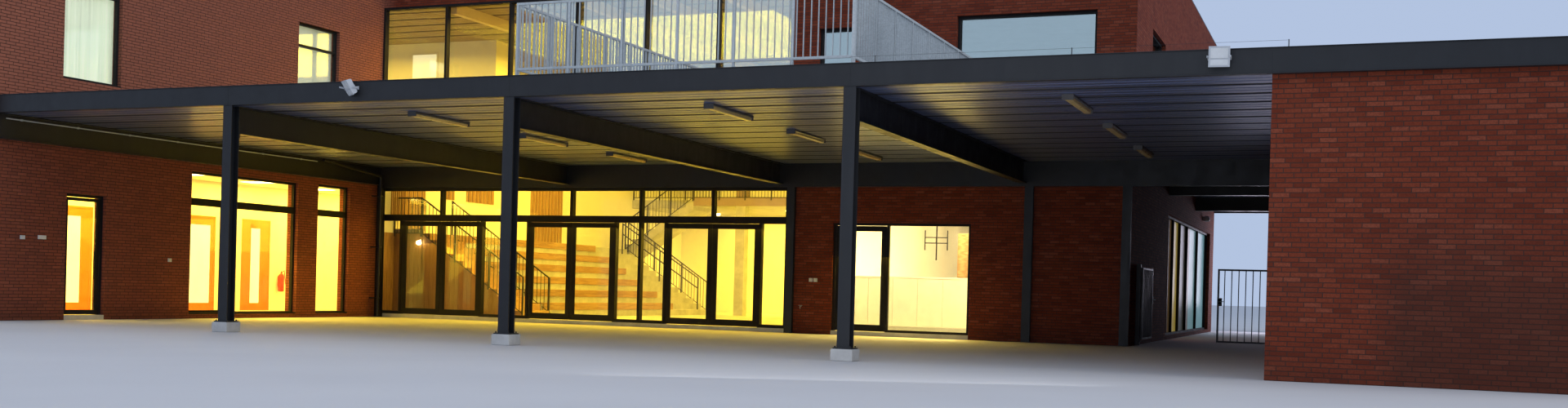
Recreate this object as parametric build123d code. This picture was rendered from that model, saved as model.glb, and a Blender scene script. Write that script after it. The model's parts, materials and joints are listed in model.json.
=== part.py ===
"""School building: two brick wings joined by a glazed entrance hall, with a steel canopy in front.

Millimetres, +X to the right along the front, +Y into the building, +Z up from the ground.
Every y below is measured from the canopy's front face, which the shift at the end places.
"""

import os

from build123d import *

# Plan: a six metre grid with canopy columns at x = -GRID, 0 and GRID.
GRID = 6000
WING_FACE = -2 * GRID
ANNEX_FACE = 2 * GRID
HALF_LENGTH = 18500
FACADE = 12000
BACK = 31250
WING_FRONT = -250
WALL = 350

# Heights.
FLOOR = 100
STOREY = 4130
DECK_TOP = 4290
ROOFING_TOP = 4430
UPPER_FLOOR = 4430
FASCIA_TOP = 4480
PARAPET = 9850
COPING = 40
WALL_TOP = PARAPET - COPING
ROOF_UNDER = PARAPET - 1100
ROOF_SLAB = 300
UPPER_HEAD = 7550

# Entrance hall.
HALL_SIDE = 210
HALF_BAY = 2030
ENTRY_LEFT = -11970
BAR = 80
SIDE_BAR = 60
FRAME_DEPTH = 160
TRANSOM_LOW = 2660
TRANSOM_HIGH = 2830
FANLIGHT_HEAD = 3560
HALL_FRIEZE = 1310
HALL_HEAD = PARAPET - HALL_FRIEZE
DOORSET_HALF = 1340
HALL_SILL = 4600
GLASS = 20

# Right-hand block and passage.
BLOCK_SIDE = 8450
GATE_LINE = 13000
GATE_POST = 100
GATE_LOW = 130
GATE_TOP = 1780
BRACKET_DROP = 20
GATE_BAR = 40
GATE_BAR_COUNT = 11
LOCK_HALF = 35
LOCK_LOW = 950

# Doors.
LEAF = 60
LEAF_GAP = 10
PIN = 5
SEAT = 0.3
LEAF_RECESS = 20
ROOM_REVEAL = 60
HANDLE_LOW = 850
HANDLE_LONG = 600
HANDLE_OFF = 30
HANDLE_THICK = 25
STILE = 88

# Openings of the wing's court wall as (y0, y1, z0, z1).
WING_DOOR = (1800, 2820, FLOOR, 2670)
WING_LOW_WINDOWS = [(5220, 8790, FLOOR, 3440), (9530, 10780, FLOOR, 3480)]
WING_HIGH_WINDOWS = [(1640, 3120, 5060, UPPER_HEAD), (8650, 10200, 5060, UPPER_HEAD)]
WING_MULLION = 6350
WING_TRANSOM = 2735
WING_HIGH_TRANSOM = 6980

# Corridor behind the court wall, with its classroom doors as (y0, y1).
CORRIDOR = 2150
PARTITION = 100
CORRIDOR_DOOR_SPANS = ((3700, 4660), (7560, 8520), (9560, 10520))
CORRIDOR_DOOR_HEAD = 2500
CORRIDOR_DOOR_THICK = 60

# Room upstairs in the wing that is open to the hall, from the facade to its partition.
UPPER_ROOM_NEAR = FACADE + 170
UPPER_ROOM_FAR = 17600

# Openings of the block's front wall as (x0, x1, z0, z1).
ROOM_OPENING = (1390, 4790, FLOOR, 2700)
ROOM_POST = 2770
TERRACE_DOOR = (900, 1820, FASCIA_TOP, 7400)
TERRACE_WINDOW = (4330, 7570, 5060, UPPER_HEAD)

# Windows of the unseen walls: sills and heads of the two storeys.
LOW_SILL, LOW_HEAD = 1000, 3300
HIGH_SILL = 5060
PLAIN_WINDOW = 2400
WING_BACK_WINDOW = -17575
HALL_BACK_WINDOWS = (-10200, -5000)
BLOCK_BACK_WINDOW = 3200
SIDE_GLAZING_START = 18500
SIDE_GLAZING = (SIDE_GLAZING_START, BACK - 1250, FLOOR, 3350)
SIDE_GLAZING_POSTS = [SIDE_GLAZING_START + d for d in (1000, 2200, 3800, 5700, 8600)]
SIDE_HIGH_SILL = HIGH_SILL + 1900
SIDE_HIGH_STARTS = (14600, 19600, 25600)
REVEAL = 100

# Canopy steel.
COLUMN = 200
FLANGE = 20
WEB = 14
BEAM_UNDER = 3630
HEADER_UNDER = 3560
HEADER_THICK = 100
FASCIA_THICK = 100
FOOTING = 470
FOOTING_HIGH = 180

# Roof over the passage, strip lights and floodlights.
PASSAGE_UNDER = STOREY + 120
PASSAGE_BEAM = 250
PASSAGE_BEAM_UNDER = 3840
PASSAGE_BEAM_LINES = (18600, 25200)
STRIP_LONG = 1700
STRIP_WIDE = 180
STRIP_HIGH = 90
STRIP_FIRST = 1400
STRIP_PITCH = 3700
LAMP_LINES = (-3150, 11300)
LAMP_WIDE = 300
LAMP_HIGH = 320
LAMP_REACH = -WING_FRONT
LAMP_DEEP = 130

# Terrace railings.
RAIL = 40
RAIL_LOW = 4590
RAIL_TOP = 5720
RAIL_RIGHT = 5990
RAIL_FRONT = 180
RAIL_POST_GAP = 960

# Tribune and stairs in the hall. Two stair steps go to one step of the tribune.
TRIBUNE_FOOT = -8000
TRIBUNE_NEAR = FACADE + 2100
TRIBUNE_FAR = TRIBUNE_NEAR + 8200
BIG_RISE = 375
BIG_TREAD = 600
BIG_STEPS = 6
RISE = BIG_RISE / 2
TREAD = BIG_TREAD / 2
STAIR_STEPS = 2 * BIG_STEPS
LANDING = FLOOR + BIG_STEPS * BIG_RISE
HALL_STAIR_FAR = TRIBUNE_FAR + 2800
FACADE_STAIR_NEAR = FACADE + 700
FACADE_STAIR_FAR = FACADE_STAIR_NEAR + 1300
FACADE_STAIR_FOOT = -7700
FACADE_TREAD = 280
UPPER_STAIR_FOOT = -11450
UPPER_STAIR_NEAR = HALL_STAIR_FAR + 100
UPPER_STAIR_FAR = UPPER_STAIR_NEAR + 1500
UPPER_RISERS = 10
WAIST = 260
GALLERY_FLOOR = 4240
GALLERY_THICK = 300
GALLERY_COLUMN = 350
GALLERY_COLUMNS = (-7100, -3100)
GUARD = 1100
GUARD_SKIRT = 100
GUARD_POST_GAP = 1000
MIDDLE_RAIL_LINE = TRIBUNE_FAR + 1900
MIDDLE_RAIL_POSTS = (1, 6, 11)
MIDDLE_RAIL_LOW = 700

HALL_STAIR_TOP = TRIBUNE_FOOT - STAIR_STEPS * TREAD
FACADE_STAIR_TOP = FACADE_STAIR_FOOT - STAIR_STEPS * FACADE_TREAD
UPPER_STAIR_TOP = UPPER_STAIR_FOOT + (UPPER_RISERS - 1) * TREAD

SHIFT = Pos(0, -(BACK + WING_FRONT) / 2, 0)
PARTS = {}


def block(x0, x1, y0, y1, z0, z1):
    """A box between two corners."""
    middle = Pos((x0 + x1) / 2, (y0 + y1) / 2, (z0 + z1) / 2)
    return middle * Box(abs(x1 - x0), abs(y1 - y0), abs(z1 - z0))


def joined(pieces):
    """Fuse touching pieces into one shape."""
    shape = pieces[0]
    for piece in pieces[1:]:
        shape = shape + piece
    return shape


def wall_along_x(x0, x1, y0, z0, z1, holes=()):
    """A wall facing the front, with holes given as (x0, x1, z0, z1)."""
    wall = block(x0, x1, y0, y0 + WALL, z0, z1)
    for a, b, low, high in holes:
        wall = wall - block(a, b, y0 - 10, y0 + WALL + 10, low, high)
    return wall


def wall_along_y(x0, y0, y1, z0, z1, holes=()):
    """A wall facing the side, with holes given as (y0, y1, z0, z1)."""
    wall = block(x0, x0 + WALL, y0, y1, z0, z1)
    for a, b, low, high in holes:
        wall = wall - block(x0 - 10, x0 + WALL + 10, a, b, low, high)
    return wall


def frame_in_x_wall(hole, y0, posts=(), rails=(), depth=BAR):
    """A window frame in a wall facing the front: ring, posts at x and rails at z."""
    x0, x1, z0, z1 = hole
    ring = block(x0, x1, y0, y0 + depth, z0, z1)
    edges = [x0 + SIDE_BAR] + [p + s * SIDE_BAR / 2 for p in posts for s in (-1, 1)] + [x1 - SIDE_BAR]
    levels = [z0 + SIDE_BAR] + [r + s * SIDE_BAR / 2 for r in rails for s in (-1, 1)] + [z1 - SIDE_BAR]
    for left, right in zip(edges[0::2], edges[1::2]):
        for low, high in zip(levels[0::2], levels[1::2]):
            ring = ring - block(left, right, y0 - 10, y0 + depth + 10, low, high)
    return ring


def frame_in_y_wall(hole, x0, posts=(), rails=(), depth=BAR):
    """The same in a wall facing the side."""
    y0, y1, z0, z1 = hole
    ring = block(x0, x0 + depth, y0, y1, z0, z1)
    edges = [y0 + SIDE_BAR] + [p + s * SIDE_BAR / 2 for p in posts for s in (-1, 1)] + [y1 - SIDE_BAR]
    levels = [z0 + SIDE_BAR] + [r + s * SIDE_BAR / 2 for r in rails for s in (-1, 1)] + [z1 - SIDE_BAR]
    for left, right in zip(edges[0::2], edges[1::2]):
        for low, high in zip(levels[0::2], levels[1::2]):
            ring = ring - block(x0 - 10, x0 + depth + 10, left, right, low, high)
    return ring


def evenly(start, stop, count, width):
    """Left edges and right edges of evenly spaced windows between two walls."""
    pitch = (stop - start) / count
    first = start + pitch / 2
    return [(first + i * pitch - width / 2, first + i * pitch + width / 2) for i in range(count)]


def two_storeys(spans):
    """Window holes on both storeys for the given spans."""
    low = [(a, b, LOW_SILL, LOW_HEAD) for a, b in spans]
    return low + [(a, b, HIGH_SILL, UPPER_HEAD) for a, b in spans]


WEST_HOLES = two_storeys(evenly(WING_FRONT + WALL, BACK - WALL, 6, PLAIN_WINDOW))
WING_FRONT_HOLES = two_storeys([(-16400, -14000)])
BACK_HOLES = two_storeys([(x, x + PLAIN_WINDOW) for x in (WING_BACK_WINDOW, BLOCK_BACK_WINDOW)])
BACK_HOLES += [(x, x + PLAIN_WINDOW, HIGH_SILL, UPPER_HEAD) for x in HALL_BACK_WINDOWS]
SIDE_HOLES = [(a, a + PLAIN_WINDOW, SIDE_HIGH_SILL, UPPER_HEAD) for a in SIDE_HIGH_STARTS]
ANNEX_SPANS = evenly(WALL, BACK - WALL, 6, PLAIN_WINDOW)
ANNEX_HOLES = [(a, b, LOW_SILL, LOW_HEAD) for a, b in ANNEX_SPANS]


def brick_walls():
    """Outer brick walls and the two walls beside the hall."""
    inner_front = WING_FRONT + WALL
    inner_back = BACK - WALL
    court = wall_along_y(WING_FACE - WALL, inner_front, inner_back, 0, STOREY, WING_LOW_WINDOWS)
    door_strip = block(WING_FACE - WALL - 10, WING_FACE + 10, *WING_DOOR[:2], 0, STOREY)
    PARTS["wing_court_wall"] = court - door_strip
    upstairs = (UPPER_ROOM_NEAR, UPPER_ROOM_FAR, UPPER_FLOOR, ROOF_UNDER)
    PARTS["wing_upper_court_wall"] = wall_along_y(
        WING_FACE - WALL, inner_front, inner_back, STOREY, WALL_TOP, WING_HIGH_WINDOWS + [upstairs]
    )
    PARTS["wing_front_wall"] = wall_along_x(
        -HALF_LENGTH, WING_FACE, WING_FRONT, 0, WALL_TOP, WING_FRONT_HOLES
    )
    PARTS["wing_outer_wall"] = wall_along_y(-HALF_LENGTH, inner_front, inner_back, 0, WALL_TOP, WEST_HOLES)
    PARTS["back_wall"] = wall_along_x(-HALF_LENGTH, BLOCK_SIDE, inner_back, 0, WALL_TOP, BACK_HOLES)
    PARTS["hall_side_wall"] = block(HALL_SIDE, HALL_SIDE + WALL, FACADE, inner_back, 0, WALL_TOP)

    left, right = HALL_SIDE + WALL, BLOCK_SIDE
    low = block(left, right, FACADE, FACADE + WALL, 0, STOREY)
    opening_strip = block(ROOM_OPENING[0], ROOM_OPENING[1], FACADE - 10, FACADE + WALL + 10, 0, STOREY)
    PARTS["block_front_wall"] = low - opening_strip
    over_hall = block(WING_FACE, HALL_SIDE, FACADE, FACADE + WALL, HALL_HEAD, WALL_TOP)
    over_rooms = wall_along_x(left, right, FACADE, STOREY, WALL_TOP, [TERRACE_DOOR, TERRACE_WINDOW])
    PARTS["upper_front_walls"] = Compound(children=[over_hall, over_rooms])
    PARTS["door_lintels"] = Compound(
        children=[
            block(WING_FACE - WALL, WING_FACE, *WING_DOOR[:2], WING_DOOR[3], STOREY),
            block(ROOM_OPENING[0], ROOM_OPENING[1], FACADE, FACADE + WALL, ROOM_OPENING[3], STOREY),
        ]
    )
    PARTS["block_side_wall"] = wall_along_y(
        BLOCK_SIDE - WALL, FACADE + WALL, inner_back, 0, WALL_TOP, [SIDE_GLAZING] + SIDE_HOLES
    )


def coping():
    """Flush metal cap along the tops of the two-storey walls."""
    along_x = [(-HALF_LENGTH, WING_FACE, WING_FRONT), (WING_FACE, BLOCK_SIDE, FACADE)]
    along_x.append((-HALF_LENGTH, BLOCK_SIDE, BACK - WALL))
    along_y = [(-HALF_LENGTH, WING_FRONT), (WING_FACE - WALL, WING_FRONT)]
    along_y += [(HALL_SIDE, FACADE), (BLOCK_SIDE - WALL, FACADE)]
    caps = [block(x0, x1, y, y + WALL, WALL_TOP, PARAPET) for x0, x1, y in along_x]
    caps += [block(x, x + WALL, y, BACK, WALL_TOP, PARAPET) for x, y in along_y]
    PARTS["parapet_coping"] = joined(caps)


def corridor():
    """Partition of the wing's ground floor with its classroom doors, and the one upstairs beside the hall."""
    face = WING_FACE - WALL - CORRIDOR
    wall = block(face - PARTITION, face, WING_FRONT + WALL, BACK - WALL, FLOOR, STOREY)
    leaves = []
    for y0, y1 in CORRIDOR_DOOR_SPANS:
        wall = wall - block(face - PARTITION - 10, face + 10, y0, y1, FLOOR, CORRIDOR_DOOR_HEAD)
        leaves.append(block(face - CORRIDOR_DOOR_THICK, face, y0, y1, FLOOR, CORRIDOR_DOOR_HEAD))
    upstairs = block(
        -HALF_LENGTH + WALL, WING_FACE, UPPER_ROOM_FAR - PARTITION, UPPER_ROOM_FAR, UPPER_FLOOR, ROOF_UNDER
    )
    PARTS["corridor_wall"] = Compound(children=[wall, upstairs])
    PARTS["corridor_doors"] = Compound(children=leaves)


def annex():
    """Single-storey brick block at the right, with its flat roof."""
    inner = (ANNEX_FACE + WALL, HALF_LENGTH - WALL, FASCIA_THICK + WALL, BACK - WALL)
    front = block(ANNEX_FACE, HALF_LENGTH, FASCIA_THICK, FASCIA_THICK + WALL, 0, STOREY)
    rear = block(ANNEX_FACE, HALF_LENGTH, BACK - WALL, BACK, 0, STOREY)
    PARTS["annex_end_walls"] = Compound(children=[front, rear])
    left = block(ANNEX_FACE, inner[0], inner[2], inner[3], 0, STOREY)
    right = wall_along_y(inner[1], inner[2], inner[3], 0, STOREY, ANNEX_HOLES)
    PARTS["annex_side_walls"] = Compound(children=[left, right])
    PARTS["annex_roof"] = block(
        ANNEX_FACE, HALF_LENGTH - FASCIA_THICK, FASCIA_THICK, BACK - FASCIA_THICK, STOREY, ROOFING_TOP
    )


def gallery(inner_back):
    """The hall's gallery round the upper flight, on two columns."""
    under = GALLERY_FLOOR - GALLERY_THICK
    floor = block(UPPER_STAIR_TOP, HALL_SIDE, UPPER_STAIR_NEAR, inner_back, under, GALLERY_FLOOR)
    floor = floor + block(WING_FACE, UPPER_STAIR_TOP, UPPER_STAIR_FAR, inner_back, under, GALLERY_FLOOR)
    for x in GALLERY_COLUMNS:
        near = UPPER_STAIR_NEAR
        floor = floor + block(x, x + GALLERY_COLUMN, near, near + GALLERY_COLUMN, FLOOR, under)
    return floor


def floors_and_roofs():
    """Ground floors, upper floors, gallery and the roofs between the parapets."""
    inner_back = BACK - WALL
    wing = (-HALF_LENGTH + WALL, WING_FACE - WALL, WING_FRONT + WALL, inner_back)
    hall = (WING_FACE, HALL_SIDE, FACADE, inner_back)
    rooms = (HALL_SIDE + WALL, BLOCK_SIDE - WALL, FACADE + WALL, inner_back)
    side_room = (ANNEX_FACE + WALL, HALF_LENGTH - WALL, FASCIA_THICK + WALL, inner_back)
    wing_step = block(WING_FACE - WALL, WING_FACE, *WING_DOOR[:2], 0, FLOOR)
    room_step = block(*ROOM_OPENING[:2], FACADE, FACADE + WALL, 0, FLOOR)
    PARTS["ground_floors"] = Compound(
        children=[
            block(*wing, 0, FLOOR) + wing_step,
            block(*hall, 0, FLOOR),
            block(*rooms, 0, FLOOR) + room_step,
            block(*side_room, 0, FLOOR),
        ]
    )
    PARTS["upper_floors"] = Compound(
        children=[block(*wing, STOREY, UPPER_FLOOR), gallery(inner_back), block(*rooms, STOREY, UPPER_FLOOR)]
    )
    hall_roof = (WING_FACE, HALL_SIDE, FACADE + WALL, inner_back)
    PARTS["roof_slabs"] = Compound(
        children=[block(*room, ROOF_UNDER, ROOF_UNDER + ROOF_SLAB) for room in (wing, hall_roof, rooms)]
    )
    beams = [
        block(x - 90, x + 90, FACADE + WALL, inner_back, ROOF_UNDER - 400, ROOF_UNDER)
        for x in (ENTRY_LEFT + i * HALF_BAY for i in range(1, 6))
    ]
    PARTS["hall_roof_beams"] = Compound(children=beams)


def canopy():
    """Steel canopy: fascia, columns on footings, beams, header, deck and roofing."""
    side = HALF_LENGTH - FASCIA_THICK
    PARTS["fascia_front"] = block(WING_FACE, HALF_LENGTH, 0, FASCIA_THICK, STOREY, FASCIA_TOP)
    PARTS["fascia_side"] = block(side, HALF_LENGTH, FASCIA_THICK, BACK, STOREY, FASCIA_TOP)
    PARTS["fascia_back"] = block(BLOCK_SIDE, side, BACK - FASCIA_THICK, BACK, STOREY, FASCIA_TOP)
    centres = (-GRID, 0, GRID)
    half = COLUMN / 2
    header_front = FACADE - HEADER_THICK
    columns = [h_column(x, 0, COLUMN, FOOTING_HIGH, STOREY) for x in centres]
    columns += [
        h_column(x, header_front, FACADE, 0, HEADER_UNDER)
        for x in (WING_FACE + half, HALL_SIDE + half, GRID + 150, BLOCK_SIDE - half)
    ]
    PARTS["canopy_columns"] = Compound(children=columns)
    margin = (FOOTING - COLUMN) / 2
    PARTS["column_footings"] = Compound(
        children=[
            block(x - FOOTING / 2, x + FOOTING / 2, -margin, COLUMN + margin, 0, FOOTING_HIGH)
            for x in centres
        ]
    )
    beams = [i_beam(x, COLUMN, header_front) for x in centres]
    beams.append(i_beam(WING_FACE + half, FASCIA_THICK, header_front))
    beams += [
        block(BLOCK_SIDE, ANNEX_FACE, y, y + PASSAGE_BEAM, PASSAGE_BEAM_UNDER, PASSAGE_UNDER)
        for y in PASSAGE_BEAM_LINES
    ]
    PARTS["canopy_beams"] = Compound(children=beams)
    PARTS["header_beam"] = block(
        WING_FACE, ANNEX_FACE, header_front, FACADE, HEADER_UNDER, STOREY
    )
    PARTS["canopy_deck"] = block(WING_FACE, ANNEX_FACE, FASCIA_THICK, FACADE, STOREY, DECK_TOP)
    PARTS["canopy_roofing"] = block(WING_FACE, ANNEX_FACE, FASCIA_THICK, FACADE, DECK_TOP, ROOFING_TOP)
    PARTS["terrace_floor"] = block(0, GRID, FASCIA_THICK, FACADE, ROOFING_TOP, FASCIA_TOP)
    PARTS["passage_deck"] = block(
        BLOCK_SIDE, ANNEX_FACE, FACADE, BACK - FASCIA_THICK, PASSAGE_UNDER, ROOFING_TOP
    )


def h_column(x, y0, y1, z0, z1):
    """A steel column with its flanges facing the front and the back."""
    half = COLUMN / 2
    front = block(x - half, x + half, y0, y0 + FLANGE, z0, z1)
    rear = block(x - half, x + half, y1 - FLANGE, y1, z0, z1)
    web = block(x - WEB / 2, x + WEB / 2, y0, y1, z0, z1)
    return joined([front, web, rear])


def i_beam(x, y0, y1):
    """A steel beam along Y under the deck."""
    half = COLUMN / 2
    low = block(x - half, x + half, y0, y1, BEAM_UNDER, BEAM_UNDER + FLANGE)
    high = block(x - half, x + half, y0, y1, STOREY - FLANGE, STOREY)
    web = block(x - WEB / 2, x + WEB / 2, y0, y1, BEAM_UNDER, STOREY)
    return joined([low, web, high])


def fittings():
    """Strip lights under the deck and the two floodlights on the fascia."""
    half = STRIP_WIDE / 2
    strips = [
        block(x - half, x + half, y, y + STRIP_LONG, STOREY - STRIP_HIGH, STOREY)
        for x in (-GRID / 2, GRID / 2, GRID * 3 / 2)
        for y in (STRIP_FIRST + i * STRIP_PITCH for i in range(3))
    ]
    PARTS["strip_lights"] = Compound(children=strips)
    lamps = []
    half = LAMP_WIDE / 2
    back = LAMP_DEEP - LAMP_REACH
    low = STOREY + 40
    arm_low = low + LAMP_HIGH / 3
    for x in LAMP_LINES:
        arm = block(x - 20, x + 20, back, 0, arm_low, arm_low + RAIL)
        head = block(x - half, x + half, -LAMP_REACH, back, low, low + LAMP_HIGH)
        lamps.append(arm + head)
    PARTS["floodlights"] = Compound(children=lamps)


def railing(along_x, fixed, start, stop):
    """Posts and two rails; the balusters between them are left to the looks."""
    half = RAIL / 2
    spans = max(1, round((stop - start) / RAIL_POST_GAP))
    posts = [start + half + i * (stop - start - RAIL) / spans for i in range(spans + 1)]
    pieces = [(start, stop, RAIL_LOW, RAIL_LOW + RAIL), (start, stop, RAIL_TOP - RAIL, RAIL_TOP)]
    pieces += [(p - half, p + half, FASCIA_TOP, RAIL_TOP) for p in posts]
    shapes = []
    for a, b, low, high in pieces:
        if along_x:
            shapes.append(block(a, b, fixed - half, fixed + half, low, high))
        else:
            shapes.append(block(fixed - half, fixed + half, a, b, low, high))
    return joined(shapes)


def terrace_railings():
    """Railings on the three open sides of the terrace."""
    side = RAIL_FRONT + RAIL / 2
    PARTS["terrace_railing_front"] = railing(True, RAIL_FRONT, 0, RAIL_RIGHT)
    PARTS["terrace_railing_sides"] = Compound(
        children=[railing(False, x, side, FACADE) for x in (RAIL / 2, RAIL_RIGHT - RAIL / 2)]
    )


def entrance():
    """Glazed entrance: sidelights and posts, transom, fanlights and glass."""
    y0, y1 = FACADE, FACADE + FRAME_DEPTH
    pane = (y0 + y1 - GLASS) / 2
    lines = [ENTRY_LEFT + i * HALF_BAY for i in range(7)]
    doors = lines[1::2]
    half = BAR / 2
    posts, sheets = [], []
    sides = [WING_FACE] + [x for d in doors for x in (d - DOORSET_HALF, d + DOORSET_HALF)] + [HALL_SIDE]
    mullions = lines[0::2]
    for i, (left, right) in enumerate(zip(sides[0::2], sides[1::2])):
        start = left if i == 0 else left - SIDE_BAR
        stop = right if i == len(mullions) - 1 else right + SIDE_BAR
        group = [block(start, stop, y0, y1, FLOOR, FLOOR + BAR)]
        bars = [(start, start + SIDE_BAR), (stop - SIDE_BAR, stop)]
        if 0 < i < len(mullions) - 1:
            bars.append((mullions[i] - half, mullions[i] + half))
        group += [block(a, b, y0, y1, FLOOR, TRANSOM_LOW) for a, b in bars]
        posts.append(joined(group))
        edges = sorted(v for bar in bars for v in bar)[1:-1]
        for a, b in zip(edges[0::2], edges[1::2]):
            sheets.append(block(a, b, pane, pane + GLASS, FLOOR + BAR, TRANSOM_LOW))
    PARTS["entrance_sidelights"] = Compound(children=posts)
    head = [block(WING_FACE, HALL_SIDE, y0, y1, FANLIGHT_HEAD - BAR, FANLIGHT_HEAD)]
    head.append(block(WING_FACE, HALL_SIDE, y0, y1, TRANSOM_LOW, TRANSOM_HIGH))
    uprights = [(WING_FACE, WING_FACE + SIDE_BAR)] + [(x - half, x + half) for x in lines[1:-1]]
    uprights.append((HALL_SIDE - SIDE_BAR, HALL_SIDE))
    head += [block(a, b, y0, y1, TRANSOM_HIGH, FANLIGHT_HEAD) for a, b in uprights]
    PARTS["entrance_fanlight_frame"] = joined(head)
    flat = [v for pair in uprights for v in pair][1:-1]
    for a, b in zip(flat[0::2], flat[1::2]):
        sheets.append(block(a, b, pane, pane + GLASS, TRANSOM_HIGH, FANLIGHT_HEAD - BAR))
    glass_y = y0 + FRAME_DEPTH
    sheets.append(block(WING_FACE, HALL_SIDE, glass_y, glass_y + GLASS, HALL_SILL, HALL_HEAD))
    PARTS["hall_glass"] = Compound(children=sheets)


def hall_curtain_wall():
    """Upper glazing of the hall above the terrace, with the beam it stands on."""
    y0 = FACADE
    lines = [ENTRY_LEFT + i * HALF_BAY for i in range(1, 6)]
    hole = (WING_FACE, HALL_SIDE, HALL_SILL, HALL_HEAD)
    PARTS["hall_upper_frame"] = frame_in_x_wall(hole, y0, posts=lines, depth=FRAME_DEPTH)
    PARTS["hall_edge_beam"] = block(
        WING_FACE, HALL_SIDE, y0, y0 + FRAME_DEPTH + GLASS, FANLIGHT_HEAD, HALL_SILL
    )


def windows():
    """Frames and glass of every window that stays shut."""
    frames, sheets = [], []
    court = WING_FACE - REVEAL - BAR
    big, narrow = WING_LOW_WINDOWS
    frames.append(frame_in_y_wall(big, court, posts=[WING_MULLION], rails=[WING_TRANSOM]))
    frames.append(frame_in_y_wall(narrow, court, rails=[WING_TRANSOM]))
    frames.append(frame_in_y_wall(WING_HIGH_WINDOWS[0], court, rails=[WING_HIGH_TRANSOM]))
    frames.append(frame_in_y_wall(WING_HIGH_WINDOWS[1], court, rails=[WING_HIGH_TRANSOM]))
    for y0, y1, z0, z1 in WING_LOW_WINDOWS + WING_HIGH_WINDOWS:
        sheets.append(block(court - GLASS, court, y0, y1, z0, z1))
    terrace = FACADE + REVEAL
    frames.append(frame_in_x_wall(TERRACE_DOOR, terrace))
    frames.append(frame_in_x_wall(TERRACE_WINDOW, terrace))
    for x0, x1, z0, z1 in (TERRACE_DOOR, TERRACE_WINDOW):
        sheets.append(block(x0, x1, terrace + BAR, terrace + BAR + GLASS, z0, z1))
    frames += [room_window_frame(), wing_door_frame()]
    x0, x1, z0, z1 = ROOM_OPENING
    y = FACADE + ROOM_REVEAL + BAR
    sheets.append(block(ROOM_POST - SIDE_BAR / 2, x1, y, y + GLASS, z0, z1))
    for hole in WING_FRONT_HOLES:
        y = WING_FRONT + REVEAL
        frames.append(frame_in_x_wall(hole, y, posts=[(hole[0] + hole[1]) / 2]))
        sheets.append(block(hole[0], hole[1], y + BAR, y + BAR + GLASS, hole[2], hole[3]))
    for hole in BACK_HOLES:
        y = BACK - REVEAL - BAR
        frames.append(frame_in_x_wall(hole, y, posts=[(hole[0] + hole[1]) / 2]))
        sheets.append(block(hole[0], hole[1], y - GLASS, y, hole[2], hole[3]))
    for hole in WEST_HOLES:
        x = -HALF_LENGTH + REVEAL
        frames.append(frame_in_y_wall(hole, x, posts=[(hole[0] + hole[1]) / 2]))
        sheets.append(block(x + BAR, x + BAR + GLASS, hole[0], hole[1], hole[2], hole[3]))
    for hole in ANNEX_HOLES:
        x = HALF_LENGTH - REVEAL - BAR
        frames.append(frame_in_y_wall(hole, x, posts=[(hole[0] + hole[1]) / 2]))
        sheets.append(block(x - GLASS, x, hole[0], hole[1], hole[2], hole[3]))
    for hole in SIDE_HOLES:
        x = BLOCK_SIDE - REVEAL - BAR
        frames.append(frame_in_y_wall(hole, x))
        sheets.append(block(x - GLASS, x, hole[0], hole[1], hole[2], hole[3]))
    PARTS["window_frames"] = Compound(children=frames)
    PARTS["window_glass"] = Compound(children=sheets)


def side_glazing():
    """Tall glazed screen of the block along the passage."""
    y0, y1 = SIDE_GLAZING[:2]
    x = BLOCK_SIDE - REVEAL - BAR
    PARTS["side_glazing_frame"] = frame_in_y_wall(SIDE_GLAZING, x, posts=SIDE_GLAZING_POSTS)
    PARTS["side_glazing_glass"] = block(x - GLASS, x, y0, y1, SIDE_GLAZING[2], SIDE_GLAZING[3])


def room_window_frame():
    """Frame beside and over the room's glazed door, with its fixed window."""
    x0, x1, z0, z1 = ROOM_OPENING
    y = FACADE + ROOM_REVEAL
    half = SIDE_BAR / 2
    window = frame_in_x_wall((ROOM_POST - half, x1, z0, z1), y)
    jamb = block(x0, x0 + SIDE_BAR, y, y + BAR, z0, z1)
    head = block(x0 + SIDE_BAR, ROOM_POST - half, y, y + BAR, z1 - SIDE_BAR, z1)
    return joined([window, head, jamb])


def pivot(x, y, foot, top):
    """A hinge pin that ends just above what carries it."""
    return Pos(x, y, (foot + SEAT + top) / 2) * Cylinder(PIN, top - foot - SEAT)


def glazed_leaf(width, low, high, y0, bottom=STILE):
    """A door leaf from x = 0 to width: frame, thin pane, a pull handle each side and a floor pivot."""
    leaf = block(0, width, y0, y0 + LEAF, low, high)
    pane_y = y0 + (LEAF - GLASS) / 2
    for near, far in ((y0 - 10, pane_y), (pane_y + GLASS, y0 + LEAF + 10)):
        leaf = leaf - block(STILE, width - STILE, near, far, low + bottom, high - STILE)
    bar_x = width - STILE / 2
    for side, face in ((-1, y0), (1, y0 + LEAF)):
        stem = face + side * HANDLE_OFF
        reach = stem + side * HANDLE_THICK
        leaf = leaf + block(bar_x - 15, bar_x + 15, stem, reach, HANDLE_LOW, HANDLE_LOW + HANDLE_LONG)
        for z in (HANDLE_LOW + 50, HANDLE_LOW + HANDLE_LONG - 50):
            leaf = leaf + block(bar_x - 10, bar_x + 10, face, stem, z - 10, z + 10)
    return leaf + pivot(0, y0, FLOOR, low + bottom / 2)


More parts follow.
